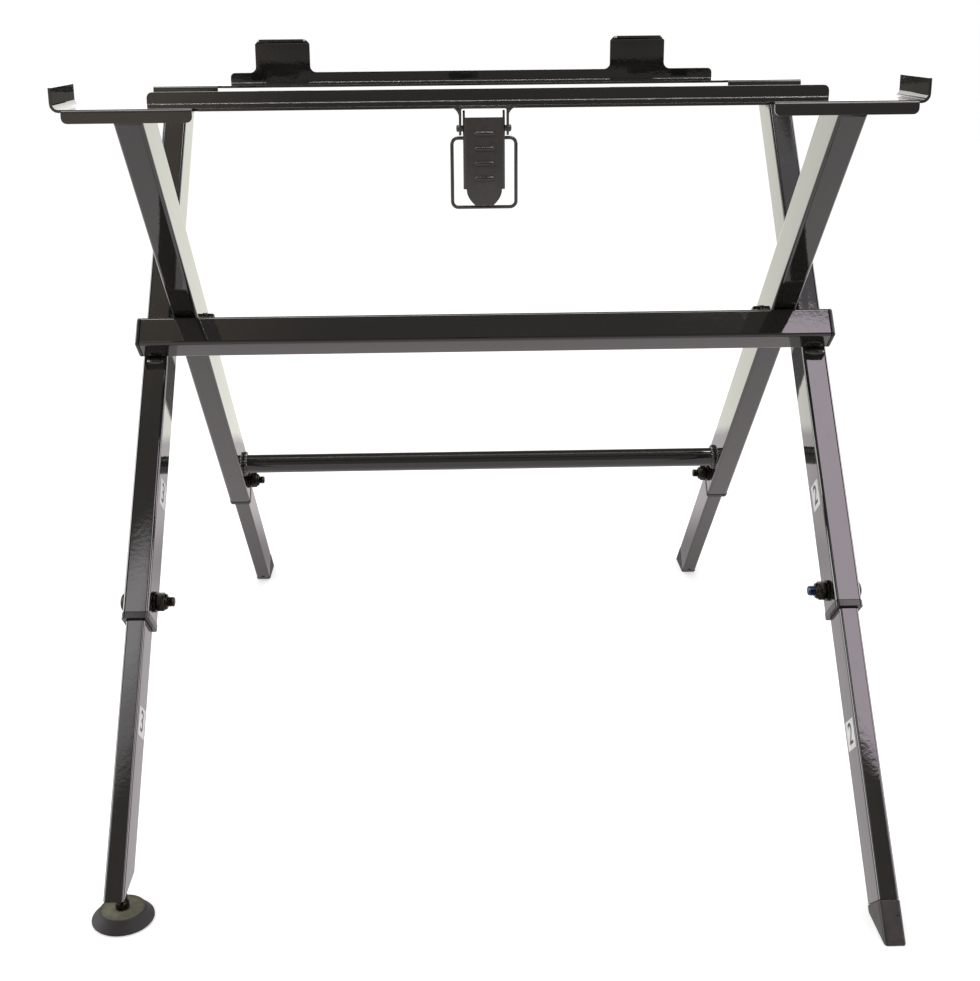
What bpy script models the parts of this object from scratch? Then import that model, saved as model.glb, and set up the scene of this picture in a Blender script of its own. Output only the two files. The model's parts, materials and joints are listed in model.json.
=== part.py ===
"""Folding stand for a miter saw.

Two crossed frames of rectangular steel tube turn about a pivot bolt on each side. Each frame carries a
folded sheet plate, and the saw lies across the two plates. Four lower legs slide in the frame tubes.
X is across the stand, Y runs from its front to its rear, Z is up, and the unit is the metre. The origin
lies on the floor under the middle of the stand.
"""

from math import asin, cos, pi, radians, sin, sqrt, tan

import bmesh
import bpy
from mathutils import Matrix, Vector

# Stance
STAND_WIDTH = 0.5858             # over the two end lips of the front plate
PIVOT_HEIGHT = 0.3702            # floor to the axis of the pivot bolts
TABLE_ABOVE_PIVOT = 0.1863       # pivot axis to the top face of both plates
OUTER_LEAN = radians(40.74)      # outer legs off the vertical, tops to the rear
INNER_LEAN = radians(45.15)      # inner legs off the vertical, tops to the front
LEG_INSET = 0.02525              # end lip to the middle of an outer leg
LEG_GAP = 0.00535                # between an outer tube and the inner tube beside it

# Rectangular tubes: width is across the stand, depth is square to the leg
TUBE_WIDTH = 0.020
TUBE_DEPTH = 0.036
TUBE_WALL = 0.0015
TUBE_CORNER = 0.0026
COLLAR_SIDE_WALL = 0.00065       # collar between the tubes, at their sides
COLLAR_FACE_WALL = 0.0009        # and at their faces
LOWER_WALL = 0.0012
LOWER_CORNER = 0.0021
OUTER_BELOW_PIVOT = 0.2555       # outer frame tube, pivot to its lower end
INNER_BELOW_PIVOT = 0.3040
INSERT_LENGTH = 0.190            # lower leg inside its frame tube
LEG_TRAVEL = 0.100               # each lower leg slides out this far
COLLAR_LIP = 0.0050
COLLAR_PROUD = 0.0004
COLLAR_SLEEVE = 0.024

# Beam that the inner legs rest on, and the bar between their lower halves
BEAM_HEIGHT = 0.025              # measured along the outer leg
BEAM_DEPTH = 0.0225              # measured square to the outer leg
BEAM_OVERHANG = 0.00245          # past the outer face of the outer leg, cap included
BEAM_CAP = 0.0032
BEAM_CAP_EDGE = 0.0010
BEAM_CAP_PLUG = 0.014
BAR_RADIUS = 0.009
BAR_BELOW_PIVOT = 0.2557         # along the inner leg
BAR_WELD = 0.0030

# Sheet plates
SHEET = 0.0020
BEND_INSIDE = 0.0006
PLATE_DEPTH = 0.0560             # front edge to the face of the upturned edge
FRONT_SETBACK = 0.0064           # front plate behind the corner of the leg it trims
DOWN_FLANGE = 0.0092
FRONT_UPTURN = 0.0082
REAR_UPTURN = 0.0090
LIP_HEIGHT = 0.0144
LIP_BEND_INSIDE = 0.0040
LIP_DEPTH = 0.0624               # front edge to the rear of an end lip
FRONT_FLANGE_LEFT = 0.0878       # length of the front flanges, from the ends inward
FRONT_FLANGE_RIGHT = 0.0981
FRONT_UPTURN_INSET = 0.0495
REAR_PLATE_INSET = 0.0059        # rear plate shorter than the front one at each end
REAR_FLANGE_LEFT = 0.0567
REAR_FLANGE_RIGHT = 0.0648
REAR_UPTURN_LEFT = 0.0610        # end of the rear plate to its upturned edge
REAR_UPTURN_RIGHT = 0.0697
RELIEF = 0.0010                  # from the end of a bend to the next one
SLIT = 0.0005                    # open part of it beside an end lip
JOG_SLOPE = 0.0050
CORNER_ROUND = 0.0038
HOOK_WIDTH = 0.0497
HOOK_INSET_LEFT = 0.0235         # end of the upturned edge to the hook
HOOK_INSET_RIGHT = 0.0445
HOOK_HEIGHT = 0.0385             # table face to the top of the hook
HOOK_REACH = 0.0090
HOOK_BEND_INSIDE = 0.0020
HOOK_CHAMFER = 0.0048            # corners cut away over the bend
HOOK_FILLET = 0.0055

# Bolts, washers and nuts
BOLT_RADIUS = 0.004
HEX_FLATS = 0.013
BOLT_HEAD = 0.0053
HEAD_RADIUS = 0.0075             # domed heads of the leg bolts
FRONT_HEAD = 0.0050
REAR_HEAD = 0.0026
NUT_HEIGHT = 0.0080
NUT_COLLAR = 0.0020
WASHER_RADIUS = 0.0080
WASHER = 0.0016
SPACER_RADIUS = 0.0100
LEG_BOLT_END = 0.0155            # thread end past the inner face of the frame tube
LEG_BOLT_FROM_END = 0.0130       # bolt to the lower end of the frame tube
PIVOT_BOLT_END = 0.0006

# Feet
CAP_PROUD = 0.0003
CAP_LEAST = 0.0044               # thinnest end of a wedge foot
REAR_CAP_LEAST = 0.0018
CAP_PLUG = 0.018
FOOT_CLEARANCE = 0.0292          # floor to the cut end of the levelled leg
FOOT_BEHIND = 0.0047             # screw behind the middle of the leg's cut end
PAD_RADIUS = 0.0219
PAD_TOP_RADIUS = 0.0156
PAD_HEIGHT = 0.0090
PAD_RIM = 0.0022
STEM_COLLAR_RADIUS = 0.0050
STEM_INSIDE = 0.0130             # stem above the cut end of the leg
FOOT_BLOCK = 0.030

# Latch at the front edge
LATCH_X = -0.0058
LATCH_FORWARD = 0.0050           # lever axis ahead of the plate's edge
LATCH_DROP = 0.0146              # table face down to the lever axis
BRACKET_SHEET = 0.0017
BRACKET_HALF = 0.0166            # middle to the outer face of an ear
BRACKET_BEND_INSIDE = 0.0008
BRACKET_AHEAD = 0.0040           # front of the ears ahead of the lever axis
PIN_RADIUS = 0.0020
PIN_HEAD = 0.0015
PIN_HEAD_RADIUS = 0.0024
LEVER_SHEET = 0.0015
LEVER_HALF = 0.01395
LEVER_ABOVE = 0.0073             # lever axis to the lever's upper edge
LEVER_BELOW = 0.0398             # lever axis to the end of its side flanges
LEVER_TONGUE = 0.0106
TONGUE_TIP_HALF = 0.0063
LEVER_FACE = 0.0040              # lever's face ahead of its axis
LEVER_FLANGE = 0.0080
LUG_ABOVE = 0.0117               # lever axis to the tops of the side flanges
LUG_STEP = 0.0010                # lug behind the end of the flange's bend
LUG_CHAMFER = 0.0015
BAIL_DROP = 0.0063               # lever axis to the bail axis
BAIL_WIRE = 0.0024
BAIL_LENGTH = 0.0458             # between the middles of its two bars
BAIL_HALF = 0.0213               # middle to the middle of a side wire
BAIL_CORNER = 0.0047

FIT_GAP = 0.0003                 # between two pieces that touch
HOLE_CLEARANCE = 0.0004          # hole radius over the radius of what passes through

# Worked out from the sizes above
LOWER_WIDTH = TUBE_WIDTH - 2 * (TUBE_WALL + COLLAR_SIDE_WALL + 2 * FIT_GAP)
LOWER_DEPTH = TUBE_DEPTH - 2 * (TUBE_WALL + COLLAR_FACE_WALL + 2 * FIT_GAP)
OUTER_LEG_X = STAND_WIDTH / 2 - LEG_INSET
INNER_LEG_X = OUTER_LEG_X - TUBE_WIDTH - LEG_GAP
TABLE_UNDERSIDE = TABLE_ABOVE_PIVOT - SHEET
LEG_TOP = TABLE_UNDERSIDE - FIT_GAP
BEND_OUTSIDE = BEND_INSIDE + SHEET
SIDES = {"left": -1, "right": 1}


def outer_along(height, out):
    """Distance up an outer leg at which its line `out` ahead of the middle reaches a height."""
    return (height - out * sin(OUTER_LEAN)) / cos(OUTER_LEAN)


def inner_along(height, out):
    """The same for an inner leg."""
    return (height + out * sin(INNER_LEAN)) / cos(INNER_LEAN)


def outer_y(height, out):
    """Y from the pivot of that point on an outer leg."""
    return outer_along(height, out) * sin(OUTER_LEAN) - out * cos(OUTER_LEAN)


def inner_y(height, out):
    """Y from the pivot of that point on an inner leg."""
    return -inner_along(height, out) * sin(INNER_LEAN) - out * cos(INNER_LEAN)


CAP_HALF_DEPTH = LOWER_DEPTH / 2 + CAP_PROUD
PIVOT_Y = -(outer_y(-PIVOT_HEIGHT, CAP_HALF_DEPTH) + inner_y(-PIVOT_HEIGHT, -CAP_HALF_DEPTH)) / 2
FRONT_EDGE = inner_y(TABLE_UNDERSIDE, TUBE_DEPTH / 2) + FRONT_SETBACK
REAR_EDGE = outer_y(TABLE_ABOVE_PIVOT - DOWN_FLANGE, TUBE_DEPTH / 2) - SHEET - FIT_GAP
FOLD_ANGLE = OUTER_LEAN + INNER_LEAN
BEAM_BACK = TUBE_DEPTH / 2 + FIT_GAP
BEAM_TOP = -BEAM_BACK * tan(FOLD_ANGLE / 2)
LATCH_Y = FRONT_EDGE - LATCH_FORWARD
LATCH_Z = TABLE_ABOVE_PIVOT - LATCH_DROP
EAR_RADIUS = LATCH_FORWARD - FIT_GAP


def clear_scene():
    for item in list(bpy.data.objects):
        bpy.data.objects.remove(item, do_unlink=True)


def collection(name):
    made = bpy.data.collections.new(name)
    bpy.context.scene.collection.children.link(made)
    return made


def material(name, colour, roughness, metallic):
    made = bpy.data.materials.new(name)
    made.use_nodes = True
    shader = made.node_tree.nodes["Principled BSDF"]
    shader.inputs["Base Color"].default_value = (*colour, 1.0)
    shader.inputs["Roughness"].default_value = roughness
    shader.inputs["Metallic"].default_value = metallic
    made.diffuse_color = (*colour, 1.0)
    return made


clear_scene()
PARTS = collection("miter_saw_stand")
CUTTERS = collection("cutters")
PAINT = material("black_gloss_paint", (0.012, 0.012, 0.012), 0.12, 0.0)
PLASTIC = material("black_plastic", (0.03, 0.029, 0.028), 0.5, 0.0)
RUBBER = material("black_rubber", (0.022, 0.021, 0.02), 0.75, 0.0)
STEEL = material("blackened_steel", (0.09, 0.09, 0.1), 0.35, 1.0)
LATCH_COAT = material("black_latch_coating", (0.04, 0.038, 0.036), 0.4, 0.0)


def empty(name, location, rotation=0.0, parent=None):
    made = bpy.data.objects.new(name, None)
    PARTS.objects.link(made)
    made.parent = parent
    made.location = location
    made.rotation_euler = (rotation, 0, 0)
    return made


def add(name, mesh, finish, parent, location=(0, 0, 0), rotation=(0, 0, 0)):
    """A piece of the stand, placed in its parent's frame."""
    made = bpy.data.objects.new(name, mesh)
    PARTS.objects.link(made)
    mesh.materials.append(finish)
    made.parent = parent
    made.location = location
    made.rotation_euler = rotation
    return made


def helper(name, mesh, parent, location=(0, 0, 0), rotation=(0, 0, 0)):
    """A shape that only cuts or joins another one."""
    made = bpy.data.objects.new(name, mesh)
    CUTTERS.objects.link(made)
    made.parent = parent
    made.location = location
    made.rotation_euler = rotation
    made.hide_render = True
    made.display_type = "WIRE"
    return made


def combine(piece, other, operation="DIFFERENCE"):
    step = piece.modifiers.new(other.name, "BOOLEAN")
    step.operation = operation
    step.solver = "EXACT"
    step.object = other


def smooth(mesh):
    mesh.shade_smooth()
    mesh.set_sharp_from_angle(angle=radians(35))
    return mesh


def from_bmesh(name, shape):
    mesh = bpy.data.meshes.new(name)
    shape.to_mesh(mesh)
    shape.free()
    return mesh


def rounded_rectangle(width, depth, corner, steps=4):
    points = []
    for quarter in range(4):
        turn = quarter * pi / 2
        side_x = 1 if quarter in (0, 3) else -1
        side_y = 1 if quarter in (0, 1) else -1
        middle = Vector((side_x * (width / 2 - corner), side_y * (depth / 2 - corner)))
        for step in range(steps + 1):
            angle = turn + step * pi / 2 / steps
            points.append(middle + corner * Vector((cos(angle), sin(angle))))
    return points


def circle(radius, sides=16):
    angles = [2 * pi * k / sides for k in range(sides)]
    return [Vector((radius * cos(angle), radius * sin(angle))) for angle in angles]


def extruded(name, outlines, thickness):
    """A flat outline, with any further outlines as holes, thickened evenly about its plane."""
    curve = bpy.data.curves.new(name, "CURVE")
    curve.dimensions = "2D"
    curve.fill_mode = "BOTH"
    curve.extrude = thickness / 2
    for points in outlines:
        spline = curve.splines.new("POLY")
        spline.points.add(len(points) - 1)
        for knot, point in zip(spline.points, points):
            knot.co = (point[0], point[1], 0, 1)
        spline.use_cyclic_u = True
    return mesh_of_curve(name, curve)


def mesh_of_curve(name, curve):
    drawn = bpy.data.objects.new(name + "_curve", curve)
    CUTTERS.objects.link(drawn)
    bpy.context.view_layer.update()
    evaluated = drawn.evaluated_get(bpy.context.evaluated_depsgraph_get())
    shape = bmesh.new()
    shape.from_mesh(bpy.data.meshes.new_from_object(evaluated))
    bpy.data.objects.remove(drawn, do_unlink=True)
    bmesh.ops.remove_doubles(shape, verts=shape.verts, dist=0.00001)
    bmesh.ops.recalc_face_normals(shape, faces=shape.faces)
    return smooth(from_bmesh(name, shape))


def box(name, size):
    shape = bmesh.new()
    bmesh.ops.create_cube(shape, size=1)
    bmesh.ops.scale(shape, vec=size, verts=shape.verts)
    return from_bmesh(name, shape)


def cylinder_x(name, radius, length, sides=16):
    """A plain cylinder along X."""
    shape = bmesh.new()
    bmesh.ops.create_cone(shape, cap_ends=True, segments=sides, radius1=radius, radius2=radius, depth=length)
    bmesh.ops.rotate(shape, verts=shape.verts, cent=(0, 0, 0), matrix=Matrix.Rotation(pi / 2, 3, "Y"))
    return from_bmesh(name, shape)


def turned(name, profile, finish, parent, location, rotation, sides=24, ring=False):
    """A profile of (radius, height) points, top to bottom down its outer side, turned about local Z."""
    mesh = bpy.data.meshes.new(name)
    edges = [(k, k + 1) for k in range(len(profile) - 1)]
    if ring:
        edges.append((len(profile) - 1, 0))
    mesh.from_pydata([(radius, 0, height) for radius, height in profile], edges, [])
    piece = add(name, mesh, finish, parent, location, rotation)
    screw = piece.modifiers.new("turn", "SCREW")
    screw.steps = sides
    screw.render_steps = sides
    screw.use_merge_vertices = True
    screw.merge_threshold = 0.00001
    screw.use_smooth_shade = True
    return piece


def loft(name, rings, closed=False):
    """Skin over rings of equal counts. Open lofts get end faces, closed ones join last ring to first."""
    shape = bmesh.new()
    loops = [[shape.verts.new(point) for point in ring] for ring in rings]
    pairs = list(zip(loops, loops[1:]))
    if closed:
        pairs.append((loops[-1], loops[0]))
    else:
        shape.faces.new(loops[0])
        shape.faces.new(loops[-1])
    for low, high in pairs:
        for k in range(len(low)):
            after = (k + 1) % len(low)
            shape.faces.new((low[k], low[after], high[after], high[k]))
    bmesh.ops.recalc_face_normals(shape, faces=shape.faces)
    return smooth(from_bmesh(name, shape))


def level_ring(points, height):
    return [Vector((point[0], point[1], height)) for point in points]


def along_x(rings):
    """Turns rings that are stacked on Z so that the stack runs along X."""
    return [[Vector((point.z, point.x, point.y)) for point in ring] for ring in rings]


def hex_ring(flats, height, sides=12):
    """Points of a hexagon, two to a side, so that it lofts to a round ring."""
    ring = []
    for k in range(sides):
        angle = 2 * pi * k / sides
        reach = flats / 2 / cos((angle % (pi / 3)) - pi / 6)
        ring.append(Vector((reach * cos(angle), reach * sin(angle), height)))
    return ring


def round_ring(radius, height, sides=12):
    return level_ring(circle(radius, sides), height)


def frame_tube(name, x, low, high, parent):
    outer = rounded_rectangle(TUBE_WIDTH, TUBE_DEPTH, TUBE_CORNER)
    inner = rounded_rectangle(TUBE_WIDTH - 2 * TUBE_WALL, TUBE_DEPTH - 2 * TUBE_WALL,
                              TUBE_CORNER - TUBE_WALL)
    mesh = extruded(name, [outer, inner], high - low)
    return add(name, mesh, PAINT, parent, (x, 0, (low + high) / 2))


def lower_tube(name, x, low, high, parent):
    outer = rounded_rectangle(LOWER_WIDTH, LOWER_DEPTH, LOWER_CORNER)
    inner = rounded_rectangle(LOWER_WIDTH - 2 * LOWER_WALL, LOWER_DEPTH - 2 * LOWER_WALL,
                              LOWER_CORNER - LOWER_WALL)
    mesh = extruded(name, [outer, inner], high - low)
    return add(name, mesh, PAINT, parent, (x, 0, (low + high) / 2))


def slot_cutter(name, radius, low, high, x, parent):
    """A slot along the leg, cut from side to side."""
    points = []
    for step in range(9):
        angle = step * pi / 8
        points.append((radius * cos(angle), high + radius * sin(angle)))
    for step in range(9):
        angle = pi + step * pi / 8
        points.append((radius * cos(angle), low + radius * sin(angle)))
    mesh = extruded(name, [points], 2 * TUBE_WIDTH)
    return helper(name, mesh, parent, (x, 0, 0), (pi / 2, 0, pi / 2))


def collar(name, x, low, parent, hole):
    """Moulded collar: a lip under the end of the frame tube and a sleeve inside it."""
    lip_outer = rounded_rectangle(TUBE_WIDTH + 2 * COLLAR_PROUD, TUBE_DEPTH + 2 * COLLAR_PROUD,
                                  TUBE_CORNER + COLLAR_PROUD)
    wide = TUBE_WIDTH - 2 * TUBE_WALL - 2 * FIT_GAP
    deep = TUBE_DEPTH - 2 * TUBE_WALL - 2 * FIT_GAP
    sleeve_outer = rounded_rectangle(wide, deep, TUBE_CORNER - TUBE_WALL)
    bore = rounded_rectangle(LOWER_WIDTH + 2 * FIT_GAP, LOWER_DEPTH + 2 * FIT_GAP, LOWER_CORNER)
    under = low - FIT_GAP
    rings = [level_ring(bore, under - COLLAR_LIP), level_ring(lip_outer, under - COLLAR_LIP),
             level_ring(lip_outer, under), level_ring(sleeve_outer, under),
             level_ring(sleeve_outer, under + COLLAR_SLEEVE), level_ring(bore, under + COLLAR_SLEEVE)]
    piece = add(name, loft(name, rings, closed=True), PLASTIC, parent, (x, 0, 0))
    combine(piece, hole)
    return piece


def hex_bolt(name, shank, parent, location, towards):
    """Hexagon bolt with the underside of its head at the location and its shank towards +X or -X."""
    head = BOLT_HEAD * 0.85
    rings = [hex_ring(HEX_FLATS * 0.92, -BOLT_HEAD), hex_ring(HEX_FLATS, -head), hex_ring(HEX_FLATS, 0),
             round_ring(BOLT_RADIUS, 0), round_ring(BOLT_RADIUS, shank - BOLT_RADIUS / 5),
             round_ring(BOLT_RADIUS * 0.8, shank)]
    rings = [[Vector((point.x, point.y, point.z * towards)) for point in ring] for ring in rings]
    return add(name, loft(name, along_x(rings)), STEEL, parent, location)


def domed_bolt(name, head, shank, parent, location, towards):
    """Round headed bolt with the underside of its head at the location and its shank towards +X or -X."""
    rings = [round_ring(HEAD_RADIUS * 0.45, -head), round_ring(HEAD_RADIUS * 0.80, -head * 0.75),
             round_ring(HEAD_RADIUS, -head * 0.30), round_ring(HEAD_RADIUS, 0), round_ring(BOLT_RADIUS, 0),
             round_ring(BOLT_RADIUS, shank - BOLT_RADIUS / 5), round_ring(BOLT_RADIUS * 0.8, shank)]
    rings = [[Vector((point.x, point.y, point.z * towards)) for point in ring] for ring in rings]
    return add(name, loft(name, along_x(rings)), STEEL, parent, location)


def lock_nut_rings(start, towards):
    """Rings of a lock nut whose seat is at X = start: a hexagon and the rounded collar above it."""
    bore = BOLT_RADIUS + FIT_GAP
    body = NUT_HEIGHT - NUT_COLLAR
    stack = [round_ring(bore, 0), hex_ring(HEX_FLATS, 0), hex_ring(HEX_FLATS, body),
             round_ring(HEX_FLATS * 0.46, body), round_ring(HEX_FLATS * 0.40, NUT_HEIGHT),
             round_ring(bore, NUT_HEIGHT)]
    moved = [[Vector((p.x, p.y, start + p.z * towards)) for p in ring] for ring in stack]
    return along_x(moved)


def washer_rings(start, thickness, radius, towards):
    bore = BOLT_RADIUS + FIT_GAP
    stack = [round_ring(bore, 0), round_ring(radius, 0), round_ring(radius, thickness),
             round_ring(bore, thickness)]
    moved = [[Vector((p.x, p.y, start + p.z * towards)) for p in ring] for ring in stack]
    return along_x(moved)


def ring_piece(name, rings, finish, parent, location=(0, 0, 0)):
    return add(name, loft(name, rings, closed=True), finish, parent, location)


def wedge_foot(name, x, tube_end, parent, floor):
    """Moulded foot: a plug in the tube and a sole that the floor plane cuts to a wedge."""
    deep = 2 * CAP_HALF_DEPTH
    wide = LOWER_WIDTH + 2 * CAP_PROUD
    sole = rounded_rectangle(wide, deep, LOWER_CORNER)
    inset = 2 * LOWER_WALL + 2 * FIT_GAP
    plug = rounded_rectangle(LOWER_WIDTH - inset, LOWER_DEPTH - inset, LOWER_CORNER - LOWER_WALL)
    seat = tube_end - FIT_GAP
    rings = [level_ring(sole, seat - 2 * LOWER_DEPTH), level_ring(sole, seat), level_ring(plug, seat),
             level_ring(plug, seat + CAP_PLUG)]
    piece = add(name, loft(name, rings), PLASTIC, parent, (x, 0, 0))
    combine(piece, floor)
    return piece


def arc_columns(end, inward, radius, steps=4):
    """X of the points round a corner of the given radius, from the end of an edge inward."""
    return [end + inward * radius * (1 - cos(step * pi / 2 / steps)) for step in range(steps + 1)]


def corner_drop(distance, radius):
    """How far a rounded corner lies below its edge, at a distance in from the end."""
    if distance >= radius:
        return 0.0
    return radius - sqrt(radius ** 2 - (radius - max(distance, 0.0)) ** 2)


def panel(columns, rows):
    """Flat open sheet on the given columns and rows."""
    shape = bmesh.new()
    across = len(columns) - 1
    deep = len(rows) - 1
    bmesh.ops.create_grid(shape, x_segments=across, y_segments=deep, size=1)
    for vertex in shape.verts:
        column = round((vertex.co.x + 1) / 2 * across)
        row = round((vertex.co.y + 1) / 2 * deep)
        vertex.co = (columns[column], rows[row], 0)
    return shape


def remove_cells(shape, unwanted):
    faces = [face for face in shape.faces if unwanted(face.calc_center_median())]
    bmesh.ops.delete(shape, geom=faces, context="FACES")


def border(shape, wanted):
    return [edge for edge in shape.edges if edge.is_boundary and all(wanted(v.co) for v in edge.verts)]


def pull(shape, edges):
    """Extrudes edges in place and gives the new vertices and the new far edges."""
    made = bmesh.ops.extrude_edge_only(shape, edges=edges)["geom"]
    fresh = [item for item in made if isinstance(item, bmesh.types.BMVert)]
    chosen = set(fresh)
    edges = [item for item in made if isinstance(item, bmesh.types.BMEdge)]
    far = [edge for edge in edges if all(v in chosen for v in edge.verts)]
    return fresh, far


def bend(shape, edges, hinge, axis, angle, steps=4):
    for _ in range(steps):
        fresh, edges = pull(shape, edges)
        bmesh.ops.rotate(shape, verts=fresh, cent=hinge, matrix=Matrix.Rotation(angle / steps, 3, axis))
    return edges


def extend(shape, edges, offset):
    fresh, far = pull(shape, edges)
    bmesh.ops.translate(shape, verts=fresh, vec=offset)
    return fresh, far


def thicken(name, shape, thickness, finish, parent, location=(0, 0, 0), rotation=(0, 0, 0)):
    """Gives the open sheet its thickness, below the face that the panel turns up."""
    bmesh.ops.recalc_face_normals(shape, faces=shape.faces)
    largest = max(shape.faces, key=lambda face: face.calc_area())
    if largest.normal.z < 0:
        bmesh.ops.reverse_faces(shape, faces=shape.faces)
    piece = add(name, smooth(from_bmesh(name, shape)), finish, parent, location, rotation)
    solid = piece.modifiers.new("thickness", "SOLIDIFY")
    solid.thickness = thickness
    solid.offset = -1
    solid.use_even_offset = True
    return piece


def slope_jog(shape, start, inward):
    """Slants the end of the middle strip's front edge, and spaces the vertices near it evenly again."""
    reach = 4 * JOG_SLOPE
    for vertex in shape.verts:
        past = (vertex.co.x - start) * inward
        if vertex.co.y < 1e-6 and -1e-6 < past < reach:
            vertex.co.x += inward * JOG_SLOPE * (1 - past / reach)


def down_flange(shape, left, right):
    """Front flange between two X, bent down, with its lower corners rounded."""
    start = FRONT_BEND

    def on_front(point):
        return abs(point.y - start) < 1e-6 and left - 1e-6 <= point.x <= right + 1e-6 and abs(point.z) < 1e-6

    edges = bend(shape, border(shape, on_front), (0, start, -BEND_OUTSIDE), "X", pi / 2)
    fresh, _ = extend(shape, edges, (0, 0, 0))
    for vertex in fresh:
        near_end = min(vertex.co.x - left, right - vertex.co.x)
        vertex.co.z = -DOWN_FLANGE + corner_drop(near_end, CORNER_ROUND)


def upturn(shape, start, left, right, height_at):
    """Rear edge between two X, bent up to the height that height_at gives for each X."""
    def on_rear(point):
        return abs(point.y - start) < 1e-6 and left - 1e-6 <= point.x <= right + 1e-6 and abs(point.z) < 1e-6

    edges = bend(shape, border(shape, on_rear), (0, start, BEND_INSIDE), "X", pi / 2)
    fresh, far = extend(shape, edges, (0, 0, 0))
    for vertex in fresh:
        vertex.co.z = height_at(vertex.co.x)
    return far


def narrow(edges, axis, inset):
    """Moves both ends of a row of edges towards its middle."""
    row = sorted({vertex for edge in edges for vertex in edge.verts}, key=lambda vertex: vertex.co[axis])
    row[0].co[axis] += inset
    row[-1].co[axis] -= inset


def hook(shape, edges, steps=4):
    """Raises a hook from the given edges and bends its top forward, with the corners cut over the bend."""
    bend_height = HOOK_HEIGHT - SHEET - HOOK_BEND_INSIDE
    _, edges = extend(shape, edges, (0, 0, bend_height - REAR_UPTURN - HOOK_FILLET))
    hinge = (0, PLATE_DEPTH - HOOK_BEND_INSIDE, bend_height)
    for _ in range(steps):
        edges = bend(shape, edges, hinge, "X", pi / 2 / steps, steps=1)
        narrow(edges, 0, HOOK_CHAMFER / steps)
    extend(shape, edges, (0, HOOK_BEND_INSIDE - HOOK_REACH, 0))


FRONT_BEND = BEND_OUTSIDE        # Y at which a front flange starts to bend, from the plate's front edge
REAR_BEND = PLATE_DEPTH - BEND_INSIDE
REAR_STRIP = PLATE_DEPTH + SHEET


def front_plate(parent):
    """Plate on the inner legs: front flanges, an upturned rear edge and an upturned lip at each end."""
    end = STAND_WIDTH / 2 - SHEET - LIP_BEND_INSIDE
    left_flange = (-end + RELIEF, -end + FRONT_FLANGE_LEFT)
    right_flange = (end - FRONT_FLANGE_RIGHT, end - RELIEF)
    reach = STAND_WIDTH / 2 - FRONT_UPTURN_INSET - LIP_BEND_INSIDE
    turned_up = (-reach, reach)
    columns = {-end, end, left_flange[1] + RELIEF, right_flange[0] - RELIEF, turned_up[0] - RELIEF,
               turned_up[1] + RELIEF}
    for low, high in (left_flange, right_flange, turned_up):
        columns.update(arc_columns(low, 1, CORNER_ROUND))
        columns.update(arc_columns(high, -1, CORNER_ROUND))
    beside_lip = end - RELIEF + SLIT
    columns.update((-beside_lip, beside_lip))
    shape = panel(sorted(columns), [0, FRONT_BEND, REAR_BEND, LIP_DEPTH])

    def cut_away(point):
        in_front_row = point.y < FRONT_BEND
        in_rear_row = point.y > REAR_BEND
        over_middle = left_flange[1] + RELIEF < point.x < right_flange[0] - RELIEF
        over_upturn = turned_up[0] - RELIEF < point.x < turned_up[1] + RELIEF
        kept_in_front = over_middle or abs(point.x) > beside_lip
        return (in_front_row and not kept_in_front) or (in_rear_row and over_upturn)

    remove_cells(shape, cut_away)
    slope_jog(shape, left_flange[1] + RELIEF, 1)
    slope_jog(shape, right_flange[0] - RELIEF, -1)
    down_flange(shape, *left_flange)
    down_flange(shape, *right_flange)
    upturn(shape, REAR_BEND, turned_up[0], turned_up[1],
           lambda x: FRONT_UPTURN - corner_drop(min(x - turned_up[0], turned_up[1] - x), CORNER_ROUND))
    for side in (-1, 1):
        edges = border(shape, lambda point: abs(point.x - side * end) < 1e-6 and abs(point.z) < 1e-6)
        edges = bend(shape, edges, (side * end, 0, LIP_BEND_INSIDE), "Y", -side * pi / 2)
        extend(shape, edges, (0, 0, LIP_HEIGHT - LIP_BEND_INSIDE))
    thicken("front_plate", shape, SHEET, PAINT, parent, (0, FRONT_EDGE, TABLE_ABOVE_PIVOT))


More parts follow.
